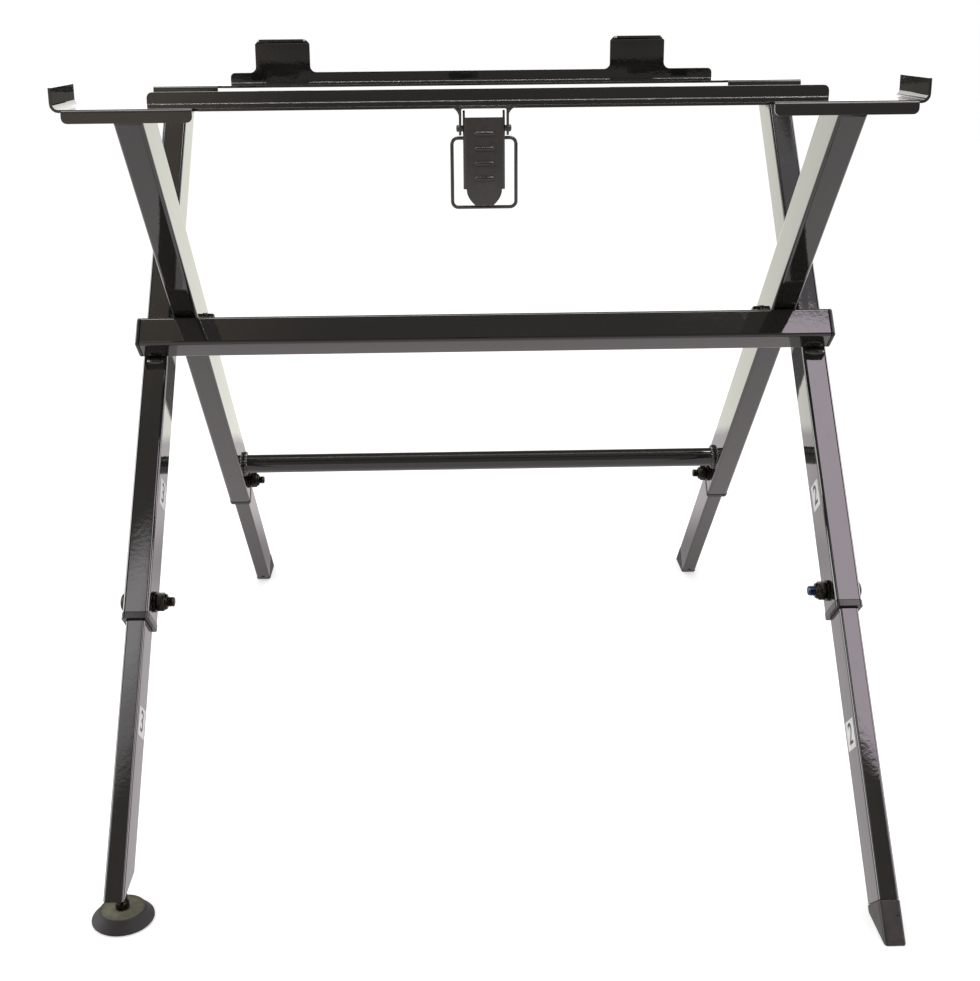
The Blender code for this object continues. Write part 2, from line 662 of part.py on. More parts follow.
def rear_plate(parent):
    """Plate on the outer legs: front flanges, and an upturned rear edge with two hold-down hooks."""
    end = STAND_WIDTH / 2 - REAR_PLATE_INSET
    left_flange = (-end, -end + REAR_FLANGE_LEFT)
    right_flange = (end - REAR_FLANGE_RIGHT, end)
    turned_up = (-end + REAR_UPTURN_LEFT, end - REAR_UPTURN_RIGHT)
    hooks = ((turned_up[0] + HOOK_INSET_LEFT, turned_up[0] + HOOK_INSET_LEFT + HOOK_WIDTH),
             (turned_up[1] - HOOK_INSET_RIGHT - HOOK_WIDTH, turned_up[1] - HOOK_INSET_RIGHT))
    columns = {left_flange[1] + RELIEF, right_flange[0] - RELIEF, turned_up[0] - RELIEF,
               turned_up[1] + RELIEF}
    for low, high in (left_flange, right_flange, turned_up):
        columns.update(arc_columns(low, 1, CORNER_ROUND))
        columns.update(arc_columns(high, -1, CORNER_ROUND))
    for low, high in hooks:
        columns.update(arc_columns(low, -1, HOOK_FILLET))
        columns.update(arc_columns(high, 1, HOOK_FILLET))
        columns.update((low + 2 * HOOK_CHAMFER, high - 2 * HOOK_CHAMFER))
    shape = panel(sorted(columns), [0, FRONT_BEND, REAR_BEND, REAR_STRIP])

    def cut_away(point):
        in_front_row = point.y < FRONT_BEND
        in_rear_row = point.y > REAR_BEND
        over_middle = left_flange[1] + RELIEF < point.x < right_flange[0] - RELIEF
        over_upturn = turned_up[0] - RELIEF < point.x < turned_up[1] + RELIEF
        return (in_front_row and not over_middle) or (in_rear_row and over_upturn)

    def edge_height(x):
        for low, high in hooks:
            outside = max(low - x, x - high)
            if outside <= 0:
                return REAR_UPTURN + HOOK_FILLET
            if outside < HOOK_FILLET:
                return REAR_UPTURN + corner_drop(outside, HOOK_FILLET)
        return REAR_UPTURN - corner_drop(min(x - turned_up[0], turned_up[1] - x), CORNER_ROUND)

    remove_cells(shape, cut_away)
    slope_jog(shape, left_flange[1] + RELIEF, 1)
    slope_jog(shape, right_flange[0] - RELIEF, -1)
    down_flange(shape, *left_flange)
    down_flange(shape, *right_flange)
    top = upturn(shape, REAR_BEND, turned_up[0], turned_up[1], edge_height)
    for low, high in hooks:
        hook(shape, [edge for edge in top if all(low - 1e-6 <= v.co.x <= high + 1e-6 for v in edge.verts)])
    thicken("rear_plate", shape, SHEET, PAINT, parent, (0, REAR_EDGE, TABLE_ABOVE_PIVOT))


def outer_frame(pivot):
    """The fixed frame: outer tubes, stop beam, rear plate and what is bolted to them."""
    legs = empty("outer_legs", (0, 0, 0), -OUTER_LEAN, pivot)
    over_table = helper("above_outer_tubes", box("above_outer_tubes", (STAND_WIDTH, 0.2, 0.1)), pivot,
                        (0, outer_y(LEG_TOP, 0), LEG_TOP + 0.05))
    bore = cylinder_x("pivot_hole", BOLT_RADIUS + HOLE_CLEARANCE, STAND_WIDTH, 12)
    pivot_hole = helper("pivot_hole", bore, pivot)
    bolt_at = -OUTER_BELOW_PIVOT + LEG_BOLT_FROM_END
    leg_hole = helper("front_leg_bolt_hole", cylinder_x("front_leg_bolt_hole", BOLT_RADIUS + HOLE_CLEARANCE,
                                                        STAND_WIDTH, 12), legs, (0, 0, bolt_at))
    top = outer_along(LEG_TOP, -TUBE_DEPTH / 2) + TUBE_WALL
    for side, sign in SIDES.items():
        tube = frame_tube("outer_tube_" + side, sign * OUTER_LEG_X, -OUTER_BELOW_PIVOT, top, legs)
        combine(tube, over_table)
        combine(tube, pivot_hole)
        combine(tube, leg_hole)
        collar("collar_front_" + side, sign * OUTER_LEG_X, -OUTER_BELOW_PIVOT, legs, leg_hole)
    stop_beam(legs)
    rear_plate(pivot)
    pivot_bolts(pivot)
    leg_fasteners("front", OUTER_LEG_X, FRONT_HEAD, legs, bolt_at)
    return legs, bolt_at


def stop_beam(legs):
    """Rectangular beam across the outer legs, with a cap in each end."""
    reach = OUTER_LEG_X + TUBE_WIDTH / 2 + BEAM_OVERHANG
    tube_end = reach - BEAM_CAP - FIT_GAP
    middle = (0, -(BEAM_BACK + BEAM_DEPTH / 2), BEAM_TOP - BEAM_HEIGHT / 2)
    outer = rounded_rectangle(BEAM_HEIGHT, BEAM_DEPTH, TUBE_CORNER)
    bore = 2 * TUBE_WALL
    inner = rounded_rectangle(BEAM_HEIGHT - bore, BEAM_DEPTH - bore, TUBE_CORNER - TUBE_WALL)
    tube = extruded("stop_beam", [outer, inner], 2 * tube_end)
    add("stop_beam", tube, PAINT, legs, middle, (0, pi / 2, 0))
    inset = bore + 2 * FIT_GAP
    plug = rounded_rectangle(BEAM_HEIGHT - inset, BEAM_DEPTH - inset, TUBE_CORNER - TUBE_WALL)
    rounding = 2 * BEAM_CAP_EDGE
    face = rounded_rectangle(BEAM_HEIGHT - rounding, BEAM_DEPTH - rounding, TUBE_CORNER - BEAM_CAP_EDGE)
    for side, sign in SIDES.items():
        seat = sign * (tube_end + FIT_GAP)
        stack = [level_ring(plug, sign * (tube_end - BEAM_CAP_PLUG)), level_ring(plug, seat),
                 level_ring(outer, seat), level_ring(outer, sign * (reach - BEAM_CAP_EDGE)),
                 level_ring(face, sign * reach)]
        add("beam_cap_" + side, loft("beam_cap_" + side, stack), PLASTIC, legs, middle, (0, pi / 2, 0))


def pivot_bolts(pivot):
    """Pivot bolts with washers under the heads, spacers between the tubes, nuts inside the outer tubes."""
    inner_face = INNER_LEG_X - TUBE_WIDTH / 2
    head_seat = inner_face - WASHER - 2 * FIT_GAP
    outer_face = OUTER_LEG_X + TUBE_WIDTH / 2
    shank = outer_face + PIVOT_BOLT_END - head_seat
    spacer_start = INNER_LEG_X + TUBE_WIDTH / 2 + FIT_GAP
    nut_seat = outer_face - TUBE_WALL - FIT_GAP
    for side, sign in SIDES.items():
        hex_bolt("pivot_bolt_" + side, shank, pivot, (sign * head_seat, 0, 0), sign)
        washer = washer_rings(sign * (head_seat + FIT_GAP), WASHER, WASHER_RADIUS, sign)
        ring_piece("pivot_washer_" + side, washer, STEEL, pivot)
        spacer = washer_rings(sign * spacer_start, LEG_GAP - 2 * FIT_GAP, SPACER_RADIUS, sign)
        ring_piece("pivot_spacer_" + side, spacer, PLASTIC, pivot)
        ring_piece("pivot_nut_" + side, lock_nut_rings(sign * nut_seat, -sign), STEEL, pivot)


def leg_fasteners(where, leg_x, head, legs, bolt_at):
    """Bolts through the frame tubes that hold the lower legs: head outside, washer and lock nut inside."""
    outer_face = leg_x + TUBE_WIDTH / 2
    inner_face = leg_x - TUBE_WIDTH / 2
    head_seat = outer_face + FIT_GAP
    shank = head_seat - (inner_face - LEG_BOLT_END)
    for side, sign in SIDES.items():
        ending = "%s_%s" % (where, side)
        domed_bolt("leg_bolt_" + ending, head, shank, legs, (sign * head_seat, 0, bolt_at), -sign)
        washer = washer_rings(sign * (inner_face - FIT_GAP), WASHER, WASHER_RADIUS, -sign)
        ring_piece("leg_washer_" + ending, washer, STEEL, legs, (0, 0, bolt_at))
        nut = lock_nut_rings(sign * (inner_face - WASHER - 2 * FIT_GAP), -sign)
        ring_piece("leg_nut_" + ending, nut, STEEL, legs, (0, 0, bolt_at))


def inner_frame(pivot):
    """The frame that folds: inner tubes, cross bar, front plate with its latch, and their fasteners."""
    legs = empty("inner_legs", (0, 0, 0), INNER_LEAN, pivot)
    over_table = helper("above_inner_tubes", box("above_inner_tubes", (STAND_WIDTH, 0.2, 0.1)), pivot,
                        (0, inner_y(LEG_TOP, 0), LEG_TOP + 0.05))
    trimmed = FRONT_EDGE + SHEET + FIT_GAP
    flange_trim = helper("behind_front_flange", box("behind_front_flange", (STAND_WIDTH, 0.1, 0.1)), pivot,
                         (0, trimmed - 0.05, LEG_TOP))
    pivot_hole = helper("inner_pivot_hole", cylinder_x("inner_pivot_hole", BOLT_RADIUS + HOLE_CLEARANCE,
                                                       STAND_WIDTH, 12), pivot)
    bolt_at = -INNER_BELOW_PIVOT + LEG_BOLT_FROM_END
    leg_hole = helper("rear_leg_bolt_hole", cylinder_x("rear_leg_bolt_hole", BOLT_RADIUS + HOLE_CLEARANCE,
                                                       STAND_WIDTH, 12), legs, (0, 0, bolt_at))
    top = inner_along(LEG_TOP, TUBE_DEPTH / 2) + TUBE_WALL
    for side, sign in SIDES.items():
        tube = frame_tube("inner_tube_" + side, sign * INNER_LEG_X, -INNER_BELOW_PIVOT, top, legs)
        combine(tube, over_table)
        combine(tube, flange_trim)
        combine(tube, pivot_hole)
        combine(tube, leg_hole)
        collar("collar_rear_" + side, sign * INNER_LEG_X, -INNER_BELOW_PIVOT, legs, leg_hole)
    cross_bar(legs)
    front_plate(pivot)
    leg_fasteners("rear", INNER_LEG_X, REAR_HEAD, legs, bolt_at)
    return legs, bolt_at


def cross_bar(legs):
    """Round bar between the inner legs, flared at each end by its weld."""
    half = INNER_LEG_X - TUBE_WIDTH / 2 - FIT_GAP
    flare = BAR_RADIUS + BAR_WELD
    right = [(0, half), (flare, half), (flare * 0.94, half - BAR_WELD / 2), (BAR_RADIUS, half - BAR_WELD)]
    profile = right + [(radius, -height) for radius, height in reversed(right)]
    turned("cross_bar", profile, PAINT, legs, (0, 0, -BAR_BELOW_PIVOT), (0, pi / 2, 0))


def lower_leg(name, x, low, high, bolt_at, legs):
    """Tube that slides in a frame tube, slotted over the bolt's travel."""
    tube = lower_tube(name, x, low, high, legs)
    radius = BOLT_RADIUS + HOLE_CLEARANCE
    combine(tube, slot_cutter(name + "_slot", radius, bolt_at, bolt_at + LEG_TRAVEL, x, legs))
    return tube


def wedge_legs(outer_legs, outer_bolt, inner_legs, inner_bolt, floor):
    """The three lower legs that end in a wedge foot."""
    high = -OUTER_BELOW_PIVOT + INSERT_LENGTH
    low = outer_along(-PIVOT_HEIGHT, -CAP_HALF_DEPTH) + CAP_LEAST
    lower_leg("lower_tube_front_right", OUTER_LEG_X, low, high, outer_bolt, outer_legs)
    wedge_foot("foot_front_right", OUTER_LEG_X, low, outer_legs, floor)
    high = -INNER_BELOW_PIVOT + INSERT_LENGTH
    low = inner_along(-PIVOT_HEIGHT, CAP_HALF_DEPTH) + REAR_CAP_LEAST
    for side, sign in SIDES.items():
        lower_leg("lower_tube_rear_" + side, sign * INNER_LEG_X, low, high, inner_bolt, inner_legs)
        wedge_foot("foot_rear_" + side, sign * INNER_LEG_X, low, inner_legs, floor)


def levelled_leg(pivot, legs, bolt_at):
    """The front left lower leg: cut level, with a threaded block, a screwed stem and a rubber pad."""
    cut = FOOT_CLEARANCE - PIVOT_HEIGHT
    low = outer_along(cut, TUBE_DEPTH / 2)
    high = -OUTER_BELOW_PIVOT + INSERT_LENGTH
    x = -OUTER_LEG_X
    tube = lower_leg("lower_tube_front_left", x, low, high, bolt_at, legs)
    below = helper("below_levelled_leg", box("below_levelled_leg", (0.1, 0.2, 0.1)), pivot,
                   (x, outer_y(cut, 0), cut - 0.05))
    combine(tube, below)
    wide = LOWER_WIDTH - 2 * LOWER_WALL - 2 * FIT_GAP
    deep = LOWER_DEPTH - 2 * LOWER_WALL - 2 * FIT_GAP
    block = extruded("foot_block", [rounded_rectangle(wide, deep, LOWER_CORNER - LOWER_WALL)], FOOT_BLOCK)
    holder = add("foot_block", block, STEEL, legs, (x, 0, outer_along(cut, 0) + FOOT_BLOCK / 3))
    combine(holder, below)
    foot = empty("foot_axis", (x, outer_y(cut, 0) + FOOT_BEHIND, -PIVOT_HEIGHT), 0.0, pivot)
    thread = bmesh.new()
    bmesh.ops.create_cone(thread, cap_ends=True, segments=16, radius1=BOLT_RADIUS + HOLE_CLEARANCE,
                          radius2=BOLT_RADIUS + HOLE_CLEARANCE, depth=4 * STEM_INSIDE)
    hole = helper("foot_thread", from_bmesh("foot_thread", thread), foot, (0, 0, FOOT_CLEARANCE))
    combine(holder, hole)
    collar_top = FOOT_CLEARANCE - FIT_GAP
    stem_top = FOOT_CLEARANCE + STEM_INSIDE
    seat = PAD_HEIGHT + FIT_GAP
    stem = [(0, stem_top), (BOLT_RADIUS * 0.8, stem_top), (BOLT_RADIUS, stem_top - BOLT_RADIUS / 5),
            (BOLT_RADIUS, collar_top), (STEM_COLLAR_RADIUS, collar_top), (STEM_COLLAR_RADIUS, seat),
            (BOLT_RADIUS, seat), (BOLT_RADIUS, PAD_RIM + FIT_GAP), (0, PAD_RIM + FIT_GAP)]
    turned("foot_stem", stem, STEEL, foot, (0, 0, 0), (0, 0, 0), sides=16)
    bore = BOLT_RADIUS + FIT_GAP
    pad = [(0, PAD_RIM), (bore, PAD_RIM), (bore, PAD_HEIGHT), (PAD_TOP_RADIUS, PAD_HEIGHT),
           (PAD_RADIUS, PAD_RIM), (PAD_RADIUS, 0), (0, 0)]
    turned("foot_pad", pad, RUBBER, foot, (0, 0, 0), (0, 0, 0), sides=32)


def latch(pivot):
    """Draw latch at the front edge: bracket, pin, lever and wire bail."""
    axis = empty("latch_axis", (LATCH_X, LATCH_Y, LATCH_Z), 0.0, pivot)
    bracket(axis)
    half = BRACKET_HALF + FIT_GAP + PIN_HEAD
    shaft = BRACKET_HALF + FIT_GAP
    head = [(0, half), (PIN_HEAD_RADIUS * 0.7, half), (PIN_HEAD_RADIUS, half - PIN_HEAD / 2),
            (PIN_HEAD_RADIUS, shaft), (PIN_RADIUS, shaft)]
    pin = head + [(radius, -height) for radius, height in reversed(head)]
    turned("latch_pin", pin, STEEL, axis, (0, 0, 0), (0, pi / 2, 0), sides=12)
    lever(axis)
    bail(empty("bail_axis", (0, 0, -BAIL_DROP), 0.0, axis))


def bracket(axis):
    """Bracket in line with the plate: a short web whose two sides turn down into ears that hold the pin."""
    bend_outside = BRACKET_BEND_INSIDE + BRACKET_SHEET
    flat_half = BRACKET_HALF - bend_outside
    front = asin(-BRACKET_AHEAD / EAR_RADIUS)
    steps = 9
    rows = [EAR_RADIUS * sin(front + (pi / 2 - front) * step / steps) for step in range(steps + 1)]
    shape = panel([-flat_half, flat_half], rows)
    for side in (-1, 1):
        edges = border(shape, lambda point: abs(point.x - side * flat_half) < 1e-6)
        edges = bend(shape, edges, (side * flat_half, 0, -bend_outside), "Y", side * pi / 2)
        fresh, _ = extend(shape, edges, (0, 0, 0))
        for vertex in fresh:
            vertex.co.z = -LATCH_DROP - sqrt(max(0.0, EAR_RADIUS ** 2 - vertex.co.y ** 2))
    piece = thicken("latch_bracket", shape, BRACKET_SHEET, LATCH_COAT, axis, (0, 0, LATCH_DROP))
    pin_hole = helper("bracket_pin_hole", cylinder_x("bracket_pin_hole", PIN_RADIUS + FIT_GAP,
                                                     4 * BRACKET_HALF, 12), axis)
    combine(piece, pin_hole)


def lever(axis):
    """Lever: a channel with a tapered tongue, holed for the pin and for the bail."""
    flat_half = LEVER_HALF - BEND_INSIDE - LEVER_SHEET
    taper = 6
    rows = [-LEVER_BELOW - LEVER_TONGUE * (1 - step / taper) for step in range(taper)]
    rows += [-LEVER_BELOW, LEVER_ABOVE]
    shape = panel([-flat_half, 0, flat_half], rows)
    for vertex in shape.verts:
        past = (-LEVER_BELOW - vertex.co.y) / LEVER_TONGUE
        if past > 1e-6:
            half = flat_half - (flat_half - TONGUE_TIP_HALF) * past ** 2.1
            vertex.co.x *= half / flat_half
    for side in (-1, 1):
        def beside(point):
            return abs(point.x - side * flat_half) < 1e-6 and point.y > -LEVER_BELOW - 1e-6

        edges = bend(shape, border(shape, beside), (side * flat_half, 0, -BEND_INSIDE - LEVER_SHEET), "Y",
                     side * pi / 2)
        _, edges = extend(shape, edges, (0, 0, -LUG_STEP))
        lug_start = BEND_INSIDE + LEVER_SHEET + LUG_STEP
        extend(shape, edges, (0, 0, lug_start - LEVER_FLANGE))

        def lug_foot(point):
            return abs(point.y - LEVER_ABOVE) < 1e-6 and point.x * side > 0 and point.z < 1e-6 - lug_start

        _, edges = extend(shape, border(shape, lug_foot), (0, LUG_ABOVE - LUG_CHAMFER - LEVER_ABOVE, 0))
        _, edges = extend(shape, edges, (0, LUG_CHAMFER, 0))
        narrow(edges, 2, LUG_CHAMFER)
    piece = thicken("latch_lever", shape, LEVER_SHEET, LATCH_COAT, axis, (0, -LEVER_FACE, 0), (pi / 2, 0, 0))
    long = 4 * LEVER_HALF
    pin_hole = helper("lever_pin_hole", cylinder_x("lever_pin_hole", PIN_RADIUS + FIT_GAP, long, 12), axis)
    bail_hole = helper("lever_bail_hole", cylinder_x("lever_bail_hole", BAIL_WIRE / 2 + FIT_GAP, long, 12),
                       axis, (0, 0, -BAIL_DROP))
    combine(piece, pin_hole)
    combine(piece, bail_hole)


def bail(axis):
    """Closed wire loop that hangs in the lever."""
    curve = bpy.data.curves.new("latch_bail", "CURVE")
    curve.dimensions = "3D"
    curve.bevel_depth = BAIL_WIRE / 2
    curve.bevel_resolution = 1
    outline = rounded_rectangle(2 * BAIL_HALF, BAIL_LENGTH, BAIL_CORNER)
    spline = curve.splines.new("POLY")
    spline.points.add(len(outline) - 1)
    for knot, point in zip(spline.points, outline):
        knot.co = (point[0], 0, point[1] - BAIL_LENGTH / 2, 1)
    spline.use_cyclic_u = True
    add("latch_bail", mesh_of_curve("latch_bail", curve), STEEL, axis)


def build():
    pivot = empty("pivot_axis", (0, PIVOT_Y, PIVOT_HEIGHT))
    floor = helper("floor", box("floor", (2 * STAND_WIDTH, 2.0, 0.2)), None, (0, 0, -0.1))
    outer_legs, outer_bolt = outer_frame(pivot)
    inner_legs, inner_bolt = inner_frame(pivot)
    wedge_legs(outer_legs, outer_bolt, inner_legs, inner_bolt, floor)
    levelled_leg(pivot, outer_legs, outer_bolt)
    latch(pivot)
    bpy.context.view_layer.update()


build()
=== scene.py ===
import json
from math import cos, pi, radians, sin, tan, tau

import bpy
from mathutils import Matrix, Vector


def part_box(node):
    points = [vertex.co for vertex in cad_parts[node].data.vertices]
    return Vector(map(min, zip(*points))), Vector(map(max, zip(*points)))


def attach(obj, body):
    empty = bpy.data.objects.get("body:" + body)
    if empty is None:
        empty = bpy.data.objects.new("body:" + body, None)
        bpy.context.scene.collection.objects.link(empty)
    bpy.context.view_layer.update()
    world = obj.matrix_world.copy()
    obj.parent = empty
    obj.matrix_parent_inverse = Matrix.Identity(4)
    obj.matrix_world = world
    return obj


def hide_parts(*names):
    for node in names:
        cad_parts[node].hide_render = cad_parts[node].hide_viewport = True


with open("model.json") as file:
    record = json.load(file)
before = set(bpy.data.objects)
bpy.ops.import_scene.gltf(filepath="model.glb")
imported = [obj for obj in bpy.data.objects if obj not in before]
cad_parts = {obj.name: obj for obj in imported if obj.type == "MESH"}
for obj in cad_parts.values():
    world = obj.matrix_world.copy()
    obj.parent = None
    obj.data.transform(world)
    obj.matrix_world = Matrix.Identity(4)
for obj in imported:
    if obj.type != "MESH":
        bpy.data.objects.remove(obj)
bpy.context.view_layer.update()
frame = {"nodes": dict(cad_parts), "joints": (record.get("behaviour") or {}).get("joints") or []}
joints = {joint["name"]: joint for joint in frame["joints"]}
pivot = Vector(joints["fold"]["pos_m"])
sides = {"left": -1, "right": 1}
print("frame loaded:", len(frame["nodes"]), "nodes")


# Small tools

def linear(code):
    # from an sRGB hex value
    values = [int(code[start:start + 2], 16) / 255 for start in (1, 3, 5)]
    turned = [value / 12.92 if value <= 0.04045 else ((value + 0.055) / 1.055) ** 2.4
              for value in values]
    return (*turned, 1.0)


def grey(value):
    return (value, value, value, 1)


def addNode(tree, kind, settings=None, stops=(), **links):
    # settings and links name a socket, or give its number: 1 in the settings, i1 in the links
    node = tree.nodes.new(kind)
    for name, value in (settings or {}).items():
        if isinstance(name, int) or name in node.inputs:
            node.inputs[name].default_value = value
        else:
            setattr(node, name, value)
    for mark, (position, colour) in zip(node.color_ramp.elements if stops else (), stops):
        mark.position = position
        mark.color = colour
    for name, source in links.items():
        socket = int(name[1:]) if name[1:].isdigit() else name
        tree.links.new(source, node.inputs[socket])
    return node


def deselectAll():
    for item in bpy.context.selected_objects:
        item.select_set(False)


def activate(piece):
    deselectAll()
    piece.select_set(True)
    bpy.context.view_layer.objects.active = piece


def editMesh(piece, mode="VERT"):
    activate(piece)
    bpy.ops.object.mode_set(mode="EDIT")
    bpy.ops.mesh.select_mode(type=mode)


def leaveMesh():
    bpy.ops.object.mode_set(mode="OBJECT")


def addModifier(piece, kind, **settings):
    step = piece.modifiers.new(kind.lower(), kind)
    for name, value in settings.items():
        setattr(step, name, value)


def applyModifiers(piece):
    activate(piece)
    for step in list(piece.modifiers):
        bpy.ops.object.modifier_apply(modifier=step.name)
    return piece


def settle(piece, place=Matrix.Identity(4)):
    # the place goes into the mesh, so that the object itself sits at the origin
    activate(piece)
    bpy.ops.object.transform_apply(location=True, rotation=True, scale=True)
    piece.data.transform(place)
    if place.determinant() < 0:
        piece.data.flip_normals()
    return piece


def coat(piece, finish):
    piece.data.materials.clear()
    piece.data.materials.append(finish)
    return piece


def finishPiece(piece, name, body, stands=()):
    piece.name = name
    piece.data.name = name
    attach(piece, body)
    if stands:
        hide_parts(*stands)


def ownCopy(piece):
    made = piece.copy()
    made.data = piece.data.copy()
    bpy.context.scene.collection.objects.link(made)
    return made


models = {}


def fromModel(key, build):
    # what repeats is modelled once, and each piece is a copy of it with its own mesh
    if key not in models:
        models[key] = build()
    return ownCopy(models[key])


def joinPieces(parts):
    deselectAll()
    for part in parts:
        part.select_set(True)
    bpy.context.view_layer.objects.active = parts[0]
    bpy.ops.object.join()
    return parts[0]


def smoothByAngle(piece, degrees):
    activate(piece)
    bpy.ops.object.shade_smooth_by_angle(angle=radians(degrees))
    return piece


def roundEdges(piece, width, segments=2, degrees=30):
    addModifier(piece, "BEVEL", width=width, segments=segments, limit_method="ANGLE",
                angle_limit=radians(degrees))
    return applyModifiers(piece)


def cutTo(piece, cutter):
    # keeps what lies inside the cutter
    addModifier(piece, "BOOLEAN", operation="INTERSECT", object=cutter, solver="EXACT")
    applyModifiers(piece)
    bpy.data.objects.remove(cutter)
    return piece


def turnedPiece(profile, finish, divisions=48):
    # a lathe by hand: the first disc is drawn up through each radius and height
    deselectAll()
    radius, height = profile[0]
    bpy.ops.mesh.primitive_circle_add(vertices=divisions, radius=radius, fill_type="NGON",
                                      location=(0, 0, height))
    piece = settle(bpy.context.object)
    editMesh(piece, "FACE")
    bpy.ops.mesh.select_all(action="SELECT")
    for nextRadius, nextHeight in profile[1:]:
        lift = {"value": (0, 0, nextHeight - height)}
        bpy.ops.mesh.extrude_region_move(TRANSFORM_OT_translate=lift)
        factor = nextRadius / radius
        bpy.ops.transform.resize(value=(factor, factor, 1), center_override=(0, 0, nextHeight))
        radius, height = nextRadius, nextHeight
    bpy.ops.mesh.select_all(action="SELECT")
    bpy.ops.mesh.normals_make_consistent(inside=False)
    leaveMesh()
    return coat(piece, finish)


def legFrame(jointName):
    # X across the stand, Z up the leg, Y square to it towards the rear
    along = -Vector(joints[jointName]["axis"]).normalized()
    across = Vector((1, 0, 0))
    behind = along.cross(across)
    turn = Matrix((across, behind, along)).transposed().to_4x4()
    return Matrix.Translation(pivot) @ turn


outerFrame = legFrame("leg_front_left")
innerFrame = legFrame("leg_rear_left")


def spot(place, x, behind, along):
    return place @ Matrix.Translation((x, behind, along))


def turnTo(right, up):
    # the turn that lays a piece's own X and Y along these directions
    right, up = Vector(right), Vector(up)
    return Matrix((right, up, right.cross(up))).transposed().to_4x4()


def fromPivot(x, y, z):
    return Matrix.Translation(pivot + Vector((x, y, z)))


# Camera at the photograph's viewpoint

camera = {
    "place": (-0.03605, -1.1806, 0.2432),  # from the pivot's middle
    "yaw": 0.950,
    "down": 15.743,
    "roll": 0.605,
    "lens": 52.85,
    "shiftX": 0.0249,
    "shiftY": -0.0699,
}


def addCamera():
    data = bpy.data.cameras.new("camera")
    data.sensor_fit = "HORIZONTAL"
    data.sensor_width = 36
    data.lens = camera["lens"]
    data.shift_x = camera["shiftX"]
    data.shift_y = camera["shiftY"]
    data.clip_start = 0.01
    made = bpy.data.objects.new("camera", data)
    bpy.context.scene.collection.objects.link(made)
    yaw, down, roll = (radians(camera[key]) for key in ("yaw", "down", "roll"))
    ahead = Vector((sin(yaw) * cos(down), cos(yaw) * cos(down), -sin(down)))
    right = Vector((cos(yaw), -sin(yaw), 0))
    below = ahead.cross(right)
    rolledRight = cos(roll) * right + sin(roll) * below
    rolledBelow = -sin(roll) * right + cos(roll) * below
    turn = Matrix((rolledRight, -rolledBelow, -ahead)).transposed().to_4x4()
    made.matrix_world = Matrix.Translation(pivot + Vector(camera["place"])) @ turn
    bpy.context.scene.camera = made


addCamera()
print("camera set")


# Materials

def newMaterial(name, settings):
    made = bpy.data.materials.new(name)
    made.use_nodes = True
    shader = made.node_tree.nodes["Principled BSDF"]
    for socket, value in settings.items():
        shader.inputs[socket].default_value = value
    place = made.node_tree.nodes.new("ShaderNodeTexCoord").outputs["Object"]
    return made, made.node_tree, shader, place


def addNoise(tree, place, scale, detail, roughness=0.5):
    settings = {"Scale": scale, "Detail": detail, "Roughness": roughness}
    return addNode(tree, "ShaderNodeTexNoise", settings, Vector=place).outputs["Fac"]


def addRange(tree, source, low, high, start=0.3, end=0.7):
    # a noise keeps mostly within 0.3 and 0.7, and this draws it out from low to high
    settings = {1: start, 2: end, 3: low, 4: high}
    return addNode(tree, "ShaderNodeMapRange", settings, Value=source).outputs["Result"]


def addTones(tree, source, *stops):
    return addNode(tree, "ShaderNodeValToRGB", stops=stops, Fac=source).outputs["Color"]


def addProduct(tree, first, second):
    return addNode(tree, "ShaderNodeMath", {"operation": "MULTIPLY"}, i0=first, i1=second).outputs["Value"]


def addMix(tree, share, first, second):
    settings = {"data_type": "RGBA", 6: linear(first), 7: linear(second)}
    return addNode(tree, "ShaderNodeMix", settings, i0=share).outputs[2]


def addBump(tree, source, strength, height, **below):
    settings = {"Strength": strength, "Distance": height}
    return addNode(tree, "ShaderNodeBump", settings, Height=source, **below).outputs["Normal"]


paint = {
    "colour": "#1a1a18",
    "dust": "#5a5850",
    "haze": 34,  # duller areas about 30 mm wide
    "roughness": (0.02, 0.07),
    "orangePeel": 330,  # waves about 3 mm long
    "peelDepth": 0.020,
    "ripple": 55,  # slow waves about 18 mm long, from the rolled tube under the film
    "rippleDepth": 0.020,
    "specks": 900,  # one in each millimetre, coarser than real dust, which wouldn't show
    "speckSize": 0.2,  # radius as a share of that spacing
    "dustyAreas": 90,  # patches about 11 mm wide that hold the specks
    "areaEdge": (0.56, 0.66),  # where in the noise a patch starts and is full
    "speckStrength": 0.5,
    "speckDepth": 0.12,
}


